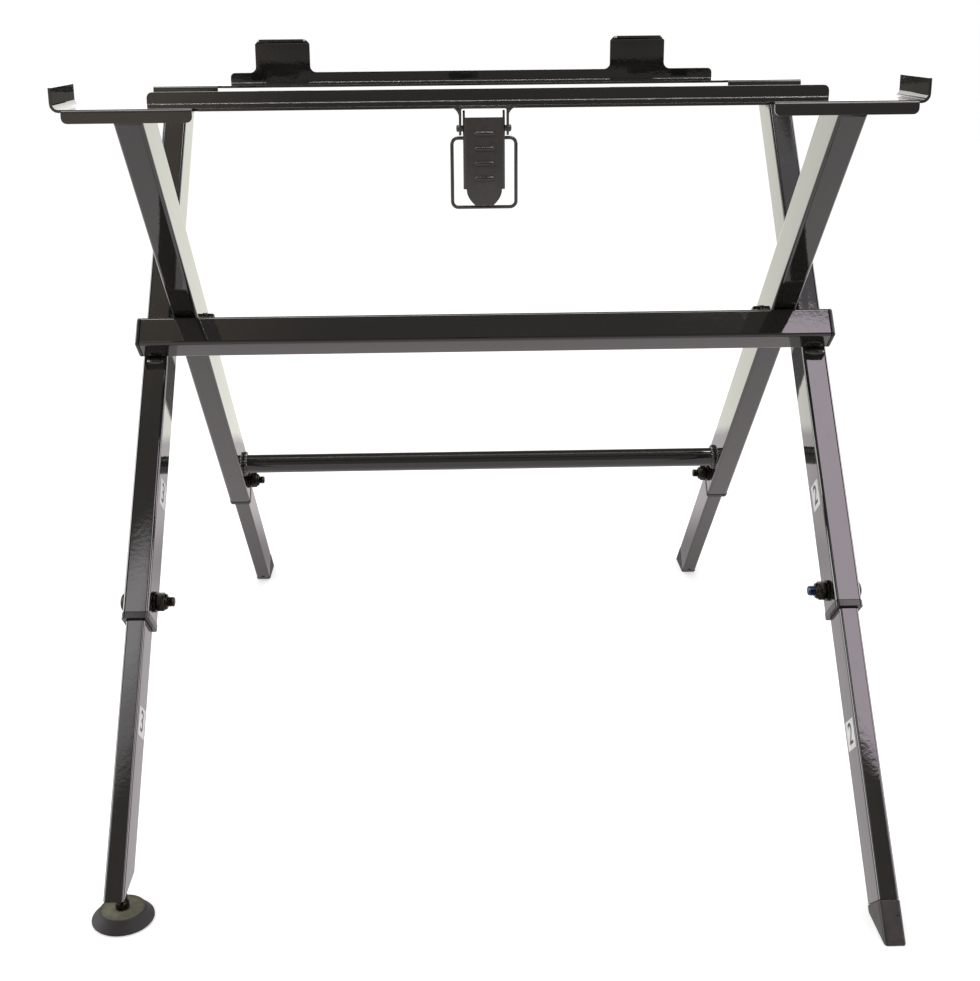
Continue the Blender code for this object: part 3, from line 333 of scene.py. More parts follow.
def glossEnamel():
    # baked black gloss enamel on steel: a wet looking film with orange peel and a little dust
    made, tree, shader, place = newMaterial(
        "blackGlossEnamel", {"IOR": 1.5, "Coat Weight": 1.0, "Coat Roughness": 0.02, "Coat IOR": 1.5})
    haze = addNoise(tree, place, paint["haze"], 5.0, 0.6)
    tree.links.new(addRange(tree, haze, *paint["roughness"], start=0.35), shader.inputs["Roughness"])
    speck = addNode(tree, "ShaderNodeTexVoronoi", {"Scale": paint["specks"]}, Vector=place)
    near = addTones(tree, speck.outputs["Distance"], (0.0, grey(1)), (paint["speckSize"], grey(0)))
    start, full = paint["areaEdge"]
    areas = addNoise(tree, place, paint["dustyAreas"], 3.0)
    dusty = addTones(tree, areas, (start, grey(0)), (full, grey(1)))
    dust = addProduct(tree, near, dusty)
    faint = addNode(tree, "ShaderNodeMath", {"operation": "MULTIPLY", 1: paint["speckStrength"]}, i0=dust)
    colour = addMix(tree, faint.outputs["Value"], paint["colour"], paint["dust"])
    tree.links.new(colour, shader.inputs["Base Color"])
    peel = addBump(tree, addNoise(tree, place, paint["orangePeel"], 3.0), paint["peelDepth"], 0.001)
    ripple = addNoise(tree, place, paint["ripple"], 3.0)
    wavy = addBump(tree, ripple, paint["rippleDepth"], 0.002, Normal=peel)
    tree.links.new(addBump(tree, dust, paint["speckDepth"], 0.0004, Normal=wavy), shader.inputs["Normal"])
    tree.links.new(wavy, shader.inputs["Coat Normal"])
    return made


# sizes of the other patterns, in waves to the metre: 1000 is about 1 mm
pattern = {
    "rubbedSpots": 120,  # 8 mm
    "sparkTexture": 1500,  # drawn at 0.7 mm, because the real 0.1 mm wouldn't show
    "dustPatches": 160,  # 6 mm
    "rubberGrain": 1100,  # drawn at 0.9 mm, because the real grain wouldn't show
    "oilPatches": 420,  # 2.4 mm
    "coatHaze": 210,  # 5 mm
    "grime": 140,  # 7 mm
}


def mouldedPlastic(name, colour, scuff, roughness, grainDepth):
    # injection moulded polypropylene: a fine spark texture and paler rubbed spots
    made, tree, shader, place = newMaterial(name, {"IOR": 1.49})
    spots = addNoise(tree, place, pattern["rubbedSpots"], 6.0, 0.65)
    tone = addTones(tree, spots, (0.35, linear(colour)), (0.75, linear(scuff)))
    tree.links.new(tone, shader.inputs["Base Color"])
    tree.links.new(addRange(tree, spots, roughness * 0.75, roughness * 1.25), shader.inputs["Roughness"])
    grain = addNoise(tree, place, pattern["sparkTexture"], 2.0)
    tree.links.new(addBump(tree, grain, grainDepth, 0.0003), shader.inputs["Normal"])
    return made


rubber = {
    "colour": "#201d1e",
    "dust": "#8c8b74",
    "roughness": 0.62,
    "dustFrom": 0.86,  # how far a face looks up before dust lies on it
    "dustFull": 0.99,
    "cover": (0.35, 0.85),
    "grainDepth": 0.25,
}


def padRubber():
    # moulded rubber: matt, with a greyish olive dust on what faces up
    made, tree, shader, place = newMaterial(
        "mouldedRubber", {"IOR": 1.52, "Roughness": rubber["roughness"]})
    facing = addNode(tree, "ShaderNodeNewGeometry")
    parts = addNode(tree, "ShaderNodeSeparateXYZ", Vector=facing.outputs["Normal"])
    upward = addRange(tree, parts.outputs["Z"], 0.0, 1.0, rubber["dustFrom"], rubber["dustFull"])
    patchy = addRange(tree, addNoise(tree, place, pattern["dustPatches"], 6.0, 0.7), *rubber["cover"])
    colour = addMix(tree, addProduct(tree, upward, patchy), rubber["colour"], rubber["dust"])
    tree.links.new(colour, shader.inputs["Base Color"])
    grain = addNoise(tree, place, pattern["rubberGrain"], 2.0)
    tree.links.new(addBump(tree, grain, rubber["grainDepth"], 0.0003), shader.inputs["Normal"])
    return made


def darkSteel(name, colour, second, roughness):
    # black oxide on a carbon steel fastener: dark metal with thin oily patches
    made, tree, shader, place = newMaterial(name, {"Metallic": 1.0})
    oil = addNoise(tree, place, pattern["oilPatches"], 5.0, 0.6)
    tone = addTones(tree, oil, (0.35, linear(colour)), (0.7, linear(second)))
    tree.links.new(tone, shader.inputs["Base Color"])
    tree.links.new(addRange(tree, oil, roughness - 0.08, roughness + 0.1), shader.inputs["Roughness"])
    tree.links.new(addBump(tree, oil, 0.12, 0.0003), shader.inputs["Normal"])
    return made


coating = {
    "roughness": (0.24, 0.36),
    "coatRoughness": 0.07,
    "hazeDepth": 0.1,
}


def latchCoating(name, colour, second):
    # electrophoretic coating on pressed steel: an even satin black with a fine haze
    made, tree, shader, place = newMaterial(
        name, {"IOR": 1.5, "Coat Weight": 1.0, "Coat Roughness": coating["coatRoughness"]})
    haze = addNoise(tree, place, pattern["coatHaze"], 6.0, 0.6)
    tone = addTones(tree, haze, (0.3, linear(colour)), (0.8, linear(second)))
    tree.links.new(tone, shader.inputs["Base Color"])
    tree.links.new(addRange(tree, haze, *coating["roughness"]), shader.inputs["Roughness"])
    tree.links.new(addBump(tree, haze, coating["hazeDepth"], 0.0004), shader.inputs["Normal"])
    return made


def printedVinyl(name, colour, second, roughness):
    # printed vinyl film: flat and even, with slight grime
    made, tree, shader, place = newMaterial(name, {"IOR": 1.5, "Roughness": roughness})
    grime = addNoise(tree, place, pattern["grime"], 5.0)
    tone = addTones(tree, grime, (0.35, linear(colour)), (0.8, linear(second)))
    tree.links.new(tone, shader.inputs["Base Color"])
    return made


enamel = glossEnamel()
collarPlastic = mouldedPlastic("polishedPolypropylene", "#1b1a19", "#2a2725", 0.13, 0.05)
solePlastic = mouldedPlastic("grainedPolypropylene", "#211f1e", "#383431", 0.34, 0.2)
soleRubber = padRubber()
boltSteel = darkSteel("blackOxideSteel", "#26241f", "#45423a", 0.3)
# the same black oxide steel tinted blue: a painted reflection of the lavender light on the stand's right
# side
paintedBlueReflectionSteel = darkSteel("steelWithBlueReflection", "#2c3a52", "#4a5a78", 0.28)
latchFinish = latchCoating("satinElectrocoat", "#242120", "#322e2b")
# the ribs get a darker coat than the lever: painted shade standing in for their shaded undersides
ribShadeFinish = latchCoating("shadedElectrocoat", "#121110", "#1c1a18")
nylon = mouldedPlastic("nylonInsert", "#34322f", "#4b4844", 0.45, 0.2)
labelWhite = printedVinyl("labelVinyl", "#f6f6f4", "#e6e6e2", 0.35)
labelInk = printedVinyl("labelInk", "#26262a", "#3a3a3e", 0.4)
print("materials made")


# Copies of the CAD nodes with their cut edges broken and their shading cleaned

cleaning = {
    "merge": 0.000005,
    "flat": 0.5,  # degrees under which two faces become one
    "corner": 50,  # degrees past which an edge is broken
    "smooth": 40,  # degrees under which an edge is shaded round
    "weight": 80,
}


def refined(node, name, body, finish, edge=0.0003, segments=2):
    piece = ownCopy(frame["nodes"][node])
    piece.parent = None
    for key in list(piece.keys()):
        del piece[key]
    editMesh(piece)
    bpy.ops.mesh.select_all(action="SELECT")
    bpy.ops.mesh.remove_doubles(threshold=cleaning["merge"])
    bpy.ops.mesh.dissolve_limited(angle_limit=radians(cleaning["flat"]))
    leaveMesh()
    if "custom_normal" in piece.data.attributes:
        piece.data.attributes.remove(piece.data.attributes["custom_normal"])
    roundEdges(piece, edge, segments, cleaning["corner"])
    smoothByAngle(piece, cleaning["smooth"])
    addModifier(piece, "WEIGHTED_NORMAL", keep_sharp=True, weight=cleaning["weight"])
    applyModifiers(piece)
    coat(piece, finish)
    finishPiece(piece, name, body, (node,))


for side in sides:
    refined("outer_tube_" + side, "outerTube_" + side, "outer_frame", enamel,
            0.0005)
    refined("inner_tube_" + side, "innerTube_" + side, "inner_frame", enamel,
            0.0004)
    for end, body in (("front", "outer_frame"), ("rear", "inner_frame")):
        ending = end + "_" + side
        refined("lower_tube_" + ending, "lowerTube_" + ending, "lower_leg_" + ending, enamel)
        refined("collar_" + ending, "collar_" + ending + "_piece", body, collarPlastic,
                0.0007)
    refined("beam_cap_" + side, "beamCap_" + side, "outer_frame", collarPlastic,
            0.0006, 3)
refined("stop_beam", "stopBeam", "outer_frame", enamel)
refined("front_plate", "frontPlate", "inner_frame", enamel, 0.0007, 3)
refined("rear_plate", "rearPlate", "outer_frame", enamel, 0.0007, 3)
for node in ("foot_front_right", "foot_rear_left", "foot_rear_right"):
    refined(node, node + "_sole", node.replace("foot", "lower_leg"), solePlastic,
            0.0006)
refined("latch_bracket", "latchBracket", "inner_frame", latchFinish)
refined("latch_lever", "latchLever", "latch_lever", latchFinish)
refined("foot_block", "threadedBlock", "lower_leg_front_left", boltSteel, 0.0004)


# Small clip beside each rear foot

clip = {
    "size": (0.0046, 0.0014, 0.0022),
    "x": 0.24234,
    "behind": -0.0150,
    "along": -0.5035,
}


def clipModel():
    deselectAll()
    bpy.ops.mesh.primitive_uv_sphere_add(segments=24, ring_count=12, radius=0.5)
    piece = bpy.context.object
    piece.scale = clip["size"]
    return smoothByAngle(coat(settle(piece), solePlastic), 60)


for side, sign in sides.items():
    place = spot(innerFrame, sign * clip["x"], clip["behind"], clip["along"])
    finishPiece(settle(fromModel("clip", clipModel), place), "soleClip_" + side,
                "lower_leg_rear_" + side)
print("frames and plates finished")


# Cross bar, with a weld round each end

bar = {
    "radius": 0.009,
    "half": 0.232,
    "along": -0.2557,
    "weldRadius": 0.0023,
    "weldOff": 0.0006,  # middle of the weld off the bar's surface and in from its end
    "ripples": 17,
    "rippleDepth": 0.1,
    "drag": 900,  # how the crescents lag towards the rim, in radians to the metre
    "lumpSize": 0.003,
    "lumpHeight": 0.0012,
}
lyingAcross = turnTo((0, 0, -1), (0, 1, 0))


def lumpy(piece, size, height):
    # the uneven surface of a weld
    lumps = bpy.data.textures.new("weldLumps", "CLOUDS")
    lumps.noise_scale = size
    addModifier(piece, "DISPLACE", texture=lumps, strength=height, mid_level=0.5)
    return applyModifiers(piece)


def weldRing():
    deselectAll()
    bpy.ops.mesh.primitive_torus_add(major_radius=bar["radius"] + bar["weldOff"],
                                     minor_radius=bar["weldRadius"], major_segments=120,
                                     minor_segments=14)
    piece = settle(bpy.context.object)
    for vertex in piece.data.vertices:
        turn = Vector((vertex.co.x, vertex.co.y, 0))
        middle = turn.normalized() * bar["radius"]
        phase = Vector((1, 0)).angle_signed(turn.to_2d()) * bar["ripples"] + turn.length * bar["drag"]
        vertex.co = middle + (vertex.co - middle) * (1 + bar["rippleDepth"] * sin(phase))
    return coat(lumpy(piece, bar["lumpSize"], bar["lumpHeight"]), enamel)


def addCrossBar():
    tube = turnedPiece([(bar["radius"], -bar["half"]), (bar["radius"], bar["half"])], enamel, 64)
    parts = [settle(tube, spot(innerFrame, 0, 0, bar["along"]) @ lyingAcross)]
    for sign in sides.values():
        place = spot(innerFrame, sign * (bar["half"] - bar["weldOff"]), 0, bar["along"])
        parts.append(settle(fromModel("weldRing", weldRing), place @ lyingAcross))
    piece = smoothByAngle(joinPieces(parts), 40)
    finishPiece(piece, "crossBar", "inner_frame", ("cross_bar",))


addCrossBar()


# Weld beads on the frames

bead = {
    "pitch": 0.0016,  # one ripple of the bead
    "depth": 0.07,
    "lumpSize": 0.0024,
    "lumpHeight": 0.0006,
    "underBeam": {"left": (-0.0453, 0.0130), "right": (-0.0452, 0.0155)},  # place along the leg, length
    "underBeamSize": (0.0062, 0.0026),  # width and height
    "legTopLength": 0.0300,
    "legTopSize": (0.0042, 0.0018),
}
legTube = {
    "outerX": 0.26765,  # middles of the outer and inner legs
    "innerX": 0.24230,
    "half": 0.010,
    "depthHalf": 0.018,
    "underTable": 0.1838,  # underside of the plates above the pivot
}


def weldBead(length, width, height, place):
    # long in the place's X, wide in its Y and proud in its Z
    deselectAll()
    bpy.ops.mesh.primitive_uv_sphere_add(segments=20, ring_count=44, radius=0.5)
    piece = bpy.context.object
    piece.scale = (2 * height, width, length)
    settle(piece)
    for vertex in piece.data.vertices:
        # the stacked crescents that a weld pool leaves
        swell = 1 + bead["depth"] * sin(tau * vertex.co.z / bead["pitch"])
        vertex.co.x *= swell
        vertex.co.y *= swell
    lumpy(piece, bead["lumpSize"], bead["lumpHeight"])
    return coat(settle(piece, place @ turnTo((0, 0, 1), (0, 1, 0))), enamel)


def addWelds():
    outer, inner = [], []
    for side, sign in sides.items():
        # below the beam, on the face of each outer leg
        along, length = bead["underBeam"][side]
        width, height = bead["underBeamSize"]
        place = spot(outerFrame, sign * legTube["outerX"], -legTube["depthHalf"], along)
        outer.append(weldBead(length, width, height, place @ turnTo((1, 0, 0), (0, 0, 1))))
        # sides of the legs under the plates
        length, (width, height) = bead["legTopLength"], bead["legTopSize"]
        for pieces, legs, x in ((outer, outerFrame, legTube["outerX"]),
                                (inner, innerFrame, legTube["innerX"])):
            middle = legs @ Vector((sign * x, 0, 0))
            reach = (legTube["underTable"] - (middle.z - pivot.z)) / (legs.to_3x3() @ Vector((0, 0, 1))).z
            for across in (-1, 1):
                end = legs @ Vector((sign * x + across * legTube["half"], 0, reach))
                pieces.append(weldBead(length, width, height,
                                       Matrix.Translation(end) @ turnTo((0, 1, 0), (-1, 0, 0))))
    for pieces, name, body in ((outer, "outerWelds", "outer_frame"), (inner, "innerWelds", "inner_frame")):
        finishPiece(smoothByAngle(joinPieces(pieces), 60), name, body)


addWelds()
print("bar and welds made")


# Hexagon bolts, washers and lock nuts

bolt = {
    "flats": 0.013,
    "turned": 0.465,  # radius where the turned corners start, as a share of the flats
    "edge": 0.00018,
    "head": 0.0053,
    "headRadius": 0.0075,  # domed heads of the leg bolts
    "shank": 0.0039,
    "leastThread": 0.004,
    "grip": 0.55,  # plain part, as a share of the length
    "thread": 0.0040,
    "pitch": 0.00125,  # coarse thread of an 8 mm bolt
    "threadDepth": 0.61,  # shares of the pitch
    "flank": 0.46,
    "lead": 0.0004,  # taper at the thread's start
    "sunk": 0.0004,  # foot of the ridge inside the core
    "washer": 0.0080,
    "washerThick": 0.0016,
    "washerEdge": 0.0003,
    "nutHex": 0.0062,
    "nutHeight": 0.0080,
}


def hexBlock(height, bottomToo):
    # hexagon with its corners turned off at 30 degrees
    flats, past = bolt["flats"], 0.0005
    deselectAll()
    bpy.ops.mesh.primitive_cylinder_add(vertices=6, radius=flats / 2 / cos(radians(30)), depth=height,
                                        location=(0, 0, height / 2))
    piece = bpy.context.object
    small, steep = flats * bolt["turned"], tan(radians(60))
    for turn in ((0, pi) if bottomToo else (0,)):
        deselectAll()
        bpy.ops.mesh.primitive_cone_add(vertices=72, radius1=small + steep * (height + past),
                                        radius2=small - steep * past, depth=height + 2 * past,
                                        location=(0, 0, height / 2), rotation=(turn, 0, 0))
        cutTo(piece, bpy.context.object)
    return coat(roundEdges(settle(piece), bolt["edge"], 2, 25), boltSteel)


def domedHead(height):
    wide = bolt["headRadius"]
    rim = [(wide - 0.0004, 0), (wide, 0.0003)]
    dome = [(1, 0.30), (0.93, 0.55), (0.78, 0.77), (0.58, 0.91), (0.32, 0.98), (0.06, 1)]
    return turnedPiece(rim + [(wide * out, height * up) for out, up in dome], boltSteel, 56)


def screwThread(low, high, finish):
    # a core with a V ridge wound round it
    crest, pitch, lead = bolt["thread"], bolt["pitch"], bolt["lead"]
    root = crest - bolt["threadDepth"] * pitch
    core = turnedPiece([(root * 0.86, low), (root + 0.0001, low + lead), (root + 0.0001, high - 0.0006),
                        (root * 0.82, high)], finish, 32)
    deselectAll()
    bpy.ops.mesh.primitive_circle_add(vertices=4, radius=1, fill_type="NOTHING")
    ridge = bpy.context.object
    for vertex in ridge.data.vertices:
        if abs(vertex.co.y) > 0.5:
            vertex.co = (root, 0, low + (0.5 + vertex.co.y * bolt["flank"]) * pitch)
        else:
            vertex.co = (crest if vertex.co.x > 0 else root - bolt["sunk"], 0, low + 0.5 * pitch)
    turns = int((high - low - lead) / pitch)
    addModifier(ridge, "SCREW", steps=32, render_steps=32, screw_offset=pitch, iterations=turns,
                use_merge_vertices=False)
    applyModifiers(ridge)
    editMesh(ridge)
    bpy.ops.mesh.select_all(action="SELECT")
    bpy.ops.mesh.fill_holes(sides=4)
    bpy.ops.mesh.normals_make_consistent(inside=False)
    leaveMesh()
    return joinPieces([core, coat(ridge, finish)])


def boltModel(head, length, finish):
    # the head stands on the origin and the thread's end lies below it
    grip = min(length - bolt["leastThread"], length * bolt["grip"])
    shank = turnedPiece([(bolt["shank"], -grip), (bolt["shank"], 0.0002)], boltSteel, 32)
    thread = screwThread(-length, -grip + bolt["lead"], finish)
    return smoothByAngle(joinPieces([head, shank, thread]), 30)


def washerModel():
    radius, thick, edge = bolt["washer"], bolt["washerThick"], bolt["washerEdge"]
    profile = [(radius - edge, 0), (radius, edge), (radius, thick - edge / 2), (radius - edge, thick)]
    return smoothByAngle(turnedPiece(profile, boltSteel, 56), 30)


def lockNutModel():
    # a turned crown over the hexagon holds the nylon ring
    flats, turned, top, height = (bolt[key] for key in ("flats", "turned", "nutHex", "nutHeight"))
    block = hexBlock(top, True)
    crown = turnedPiece([(flats * turned, top - 0.001), (flats * turned, top + 0.0006),
                         (flats * 0.452, top + 0.0011), (flats * 0.42, height - 0.0002),
                         (flats * 0.39, height), (flats * 0.355, height - 0.0001)], boltSteel)
    ring = turnedPiece([(flats * 0.36, height - 0.001), (flats * 0.36, height - 0.0004),
                        (flats * 0.33, height - 0.00025)], nylon)
    return smoothByAngle(joinPieces([block, crown, ring]), 32)


def addFastener(piece, name, body, node, place, x, along, outward):
    # its own Z goes outward across the stand, and its hexagon points along the leg's depth
    settle(piece, spot(place, x, 0, along) @ turnTo((0, 1, 0), (0, 0, outward)))
    finishPiece(piece, name, body, (node,))


# the leg bolts' places: outer face of the leg, distance along it and height of the dome
legJoint = {
    "front": {"legs": outerFrame, "body": "outer_frame", "face": 0.27765, "along": -0.2425, "dome": 0.0050},
    "rear": {"legs": innerFrame, "body": "inner_frame", "face": 0.2523, "along": -0.291, "dome": 0.0026},
}
inset = {"head": -0.0003, "threadEnd": 0.0355, "washer": 0.0203, "nut": 0.0222}  # in from that face
pivotJoint = {"head": 0.2301, "threadEnd": 0.2782, "washer": 0.2320}  # out from the middle


def addLegJoint(end, side, sign):
    legs, body, face, along, dome = legJoint[end].values()
    where = end + "_" + side
    # the right front bolt gets the blue tint, a painted reflection
    finish = paintedBlueReflectionSteel if where == "front_right" else boltSteel
    length = inset["threadEnd"] - inset["head"]
    whole = fromModel(end + finish.name, lambda: boltModel(domedHead(dome), length, finish))
    addFastener(whole, "legBolt_" + where, body, "leg_bolt_" + where, legs,
                sign * (face - inset["head"]), along, sign)
    addFastener(fromModel("washer", washerModel), "legWasher_" + where, body, "leg_washer_" + where, legs,
                sign * (face - inset["washer"]), along, -sign)
    addFastener(fromModel("lockNut", lockNutModel), "legNut_" + where, body, "leg_nut_" + where, legs,
                sign * (face - inset["nut"]), along, -sign)


def addPivotJoint(side, sign):
    middle = Matrix.Translation(pivot)
    length = pivotJoint["threadEnd"] - pivotJoint["head"]
    whole = fromModel("pivot", lambda: boltModel(hexBlock(bolt["head"], False), length, boltSteel))
    addFastener(whole, "pivotBolt_" + side, "outer_frame", "pivot_bolt_" + side, middle,
                sign * pivotJoint["head"], 0, -sign)
    addFastener(fromModel("washer", washerModel), "pivotWasher_" + side, "outer_frame",
                "pivot_washer_" + side, middle, sign * pivotJoint["washer"], 0, -sign)


for side, sign in sides.items():
    addLegJoint("front", side, sign)
    addLegJoint("rear", side, sign)
    addPivotJoint(side, sign)
print("fasteners made")


# Draw latch

latch = {
    "x": -0.0058,
    "axisY": -0.2094,
    "axisZ": 0.1717,
    "bailDrop": 0.0063,
    "bailLength": 0.0458,
    "bailHalf": 0.0213,
    "wire": 0.0012,
    "bailCorner": 0.0040,
    "ribs": 4,
    "ribX": 0.0002,  # from the latch's middle
    "ribTop": 0.1684,
    "ribPitch": 0.0098,
    "ribHalf": 0.0068,
    "ribRadius": 0.0017,
    "ribProud": 0.0018,
    "leverFace": 0.0039,  # in front of the axis
    "pinHalf": 0.0184,
    "pinRadius": 0.0020,
    "pinHead": 0.0024,
    "earX": 0.0165,  # outer face of each ear
    "plateY": -0.2062,
    "filletSize": 0.0070,
    "filletThick": 0.0034,
    "filletTop": 0.1856,
}


def addBail():
    deselectAll()
    bpy.ops.mesh.primitive_plane_add(size=1)
    loop = bpy.context.object
    loop.scale = (2 * latch["bailHalf"], latch["bailLength"], 1)
    settle(loop)
    editMesh(loop)
    bpy.ops.mesh.select_all(action="SELECT")
    bpy.ops.mesh.bevel(offset=latch["bailCorner"], segments=8, affect="VERTICES")
    bpy.ops.mesh.select_all(action="SELECT")
    bpy.ops.mesh.delete(type="ONLY_FACE")
    leaveMesh()
    activate(loop)
    bpy.ops.object.convert(target="CURVE")
    wire = bpy.context.object
    wire.data.bevel_depth = latch["wire"]
    wire.data.bevel_resolution = 5
    bpy.ops.object.convert(target="MESH")
    piece = coat(bpy.context.object, latchFinish)
    height = latch["axisZ"] - latch["bailDrop"] - latch["bailLength"] / 2
    settle(piece, fromPivot(latch["x"], latch["axisY"], height) @ turnTo((1, 0, 0), (0, 0, 1)))
    smoothByAngle(piece, 60)
    finishPiece(piece, "latchBail", "latch_bail", ("latch_bail",))


def ribModel():
    # a ball drawn out sideways and a little prouder
    deselectAll()
    bpy.ops.mesh.primitive_uv_sphere_add(segments=28, ring_count=18, radius=latch["ribRadius"],
                                         rotation=(0, pi / 2, 0))
    rib = settle(bpy.context.object)
    stretch = latch["ribHalf"] - latch["ribRadius"]
    for vertex in rib.data.vertices:
        vertex.co.x += stretch if vertex.co.x > 0.0001 else -stretch if vertex.co.x < -0.0001 else 0
        vertex.co.y *= latch["ribProud"] / latch["ribRadius"]
    # the darker coat is painted shade on the ribs
    return coat(rib, ribShadeFinish)


def addRibs():
    for count in range(latch["ribs"]):
        height = latch["ribTop"] - count * latch["ribPitch"]
        place = fromPivot(latch["x"] + latch["ribX"], latch["axisY"] - latch["leverFace"], height)
        rib = smoothByAngle(settle(fromModel("rib", ribModel), place), 80)
        finishPiece(rib, "leverRib_%d" % (count + 1), "latch_lever")


def addPin():
    half, radius, head = latch["pinHalf"], latch["pinRadius"], latch["pinHead"]
    dome = [(0.0008, half), (0.0017, half - 0.0002), (0.0022, half - 0.0006), (head, half - 0.0011),
            (head, half - 0.0015), (radius, half - 0.0015)]
    profile = [(spread, -height) for spread, height in dome] + dome[::-1]
    piece = smoothByAngle(turnedPiece(profile, latchFinish, 32), 40)
    settle(piece, fromPivot(latch["x"], latch["axisY"], latch["axisZ"]) @ lyingAcross)
    finishPiece(piece, "latchPin", "inner_frame", ("latch_pin",))


def filletModel():
    # a hollow triangle: a quarter circle cut out of the corner at the origin
    steps = 14
    deselectAll()
    bpy.ops.mesh.primitive_circle_add(vertices=steps + 2, radius=0.5, fill_type="NOTHING")
    wedge = settle(bpy.context.object)
    for vertex in wedge.data.vertices:
        turn = (vertex.index / steps) * pi / 2
        curve = Vector((1 - cos(turn), 1 - sin(turn))) * latch["filletSize"]
        vertex.co = (curve.x, -curve.y, 0) if vertex.index <= steps else (0, 0, 0)
    editMesh(wedge)
    bpy.ops.mesh.select_all(action="SELECT")
    bpy.ops.mesh.edge_face_add()
    leaveMesh()
    addModifier(wedge, "SOLIDIFY", thickness=latch["filletThick"], offset=0)
    applyModifiers(wedge)
    return coat(roundEdges(wedge, 0.0004), enamel)


def addBracketWelds():
    # outside the bracket's ears, at the plate's edge
    parts = []
    for sign in sides.values():
        ear = fromPivot(latch["x"] + sign * latch["earX"], latch["plateY"], latch["filletTop"])
        parts.append(settle(fromModel("fillet", filletModel), ear @ turnTo((sign, 0, 0), (0, 0, 1))))
    piece = smoothByAngle(joinPieces(parts), 40)
    finishPiece(piece, "bracketWelds", "inner_frame")


addRibs()
addBail()
addPin()
addBracketWelds()
print("latch made")


# Levelling foot

foot = {
    "radius": 0.0219,
    "topRadius": 0.0156,
    "height": 0.0090,
    "rim": 0.0022,  # top of the upright edge
    "collar": 0.0050,
    "collarTop": 0.0289,
    "stem": 0.0036,
    "stemTop": 0.0422,
}


def addFoot():
    low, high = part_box("foot_pad")
    middle = Matrix.Translation(((low.x + high.x) / 2, (low.y + high.y) / 2, 0))
    radius, top, height = foot["radius"], foot["topRadius"], foot["height"]
    rim, collar = foot["rim"], foot["collar"]
    base = [(radius - 0.0022, 0), (radius - 0.0006, 0.0002), (radius, 0.0009), (radius, rim - 0.0003)]
    flank = [(radius - 0.0005, rim + 0.0004), (radius - 0.0025, rim + 0.0022),
             (top + 0.0014, height - 0.0016), (top + 0.0004, height - 0.0003)]
    face = [(top - 0.0004, height), (top - 0.0010, height - 0.0003), (collar + 0.0030, height - 0.0006),
            (collar + 0.0012, height - 0.0002), (collar + 0.0004, height - 0.0001),
            (0.0042, height - 0.0004)]
    pad = smoothByAngle(turnedPiece(base + flank + face, soleRubber, 96), 32)
    finishPiece(settle(pad, middle), "footPad", "levelling_foot", ("foot_pad",))
    stem = turnedPiece([(foot["stem"], rim + 0.0004), (foot["stem"], foot["collarTop"] - 0.0004)],
                       boltSteel, 32)
    neck = turnedPiece([(collar - 0.0003, height + 0.0003), (collar, height + 0.0006),
                        (collar, height + 0.0050), (collar - 0.0006, height + 0.0056),
                        (0.0034, height + 0.0060)], boltSteel)
    thread = screwThread(height + 0.0050, foot["stemTop"], boltSteel)
    piece = smoothByAngle(joinPieces([stem, neck, thread]), 30)
    finishPiece(settle(piece, middle), "footStem", "levelling_foot", ("foot_stem",))


addFoot()
print("foot made")


# Numbered labels inside the front legs

label = {
    "width": 0.020,
    "height": 0.0213,
    "thick": 0.00015,
    "corner": 0.0012,
    "digitSize": 0.0222,
    "stroke": 0.00016,  # how much the digits are thickened
    "inkThick": 0.00003,
    "inkLift": 0.00002,
    "digits": {"left": "3", "right": "2"},
    "upper": {"left": (0.0015, -0.1535), "right": (-0.001, -0.1645)},  # behind and along the leg
    "lower": {"left": (0.0, -0.335), "right": (0.0, -0.3535)},
    "upperX": 0.25765,
    "lowerX": 0.2604,
}


def labelModel(digit):
    deselectAll()
    bpy.ops.mesh.primitive_plane_add(size=1)
    film = bpy.context.object
    film.scale = (label["width"], label["height"], 1)
    settle(film)
    editMesh(film)
    bpy.ops.mesh.select_all(action="SELECT")
    bpy.ops.mesh.bevel(offset=label["corner"], segments=4, affect="VERTICES")
    leaveMesh()
    addModifier(film, "SOLIDIFY", thickness=label["thick"], offset=1)
    applyModifiers(film)
    coat(film, labelWhite)
    deselectAll()
    bpy.ops.object.text_add()
    words = bpy.context.object
    words.data.body = digit
    words.data.size = label["digitSize"]
    words.data.align_x = "CENTER"
    words.data.align_y = "CENTER"
    words.data.extrude = label["inkThick"]
    words.data.offset = label["stroke"]
    bpy.ops.object.convert(target="MESH")
    figure = settle(bpy.context.object, Matrix.Translation((0, 0, label["thick"] + label["inkLift"])))
    coat(figure, labelInk)
    return joinPieces([film, figure])


def addLabel(name, body, side, height):
    sign, digit = sides[side], label["digits"][side]
    place = spot(outerFrame, sign * label[height + "X"], *label[height][side])
    piece = fromModel("label" + digit, lambda: labelModel(digit))
    finishPiece(settle(piece, place @ turnTo((0, -sign, 0), (0, 0, 1))), name, body)


for side in sides:
    addLabel("label_upper_" + side, "outer_frame", side, "upper")
    addLabel("label_lower_" + side, "lower_leg_front_" + side, side, "lower")
print("labels made")

for model in models.values():
    bpy.data.objects.remove(model)
for name, node in frame["nodes"].items():
    if not node.hide_render:
        coat(node, boltSteel if name.startswith("pivot_nut") else collarPlastic)


# Floor, world and lamps

studio = {
    "floor": "#f4f4f2",
    "floorSize": 14,
    "floorMiddle": (0, 2.0, -0.0006),
    "floorGlow": 0.46,
    "sweepStart": 0.90,  # where the paper rises behind the stand
    "sweepSoft": 0.03,
    "nearPaper": ("#fff7f9", 0.66),
    "farPaper": ("#fffff4", 1.08),
    "footShade": 0.55,
    "shadeMiddle": (0.242, 0.40, 0.0),  # rear foot, and the same on the other side
    "shadeReach": (0.02, 0.20),
    "ambient": 0.62,
}

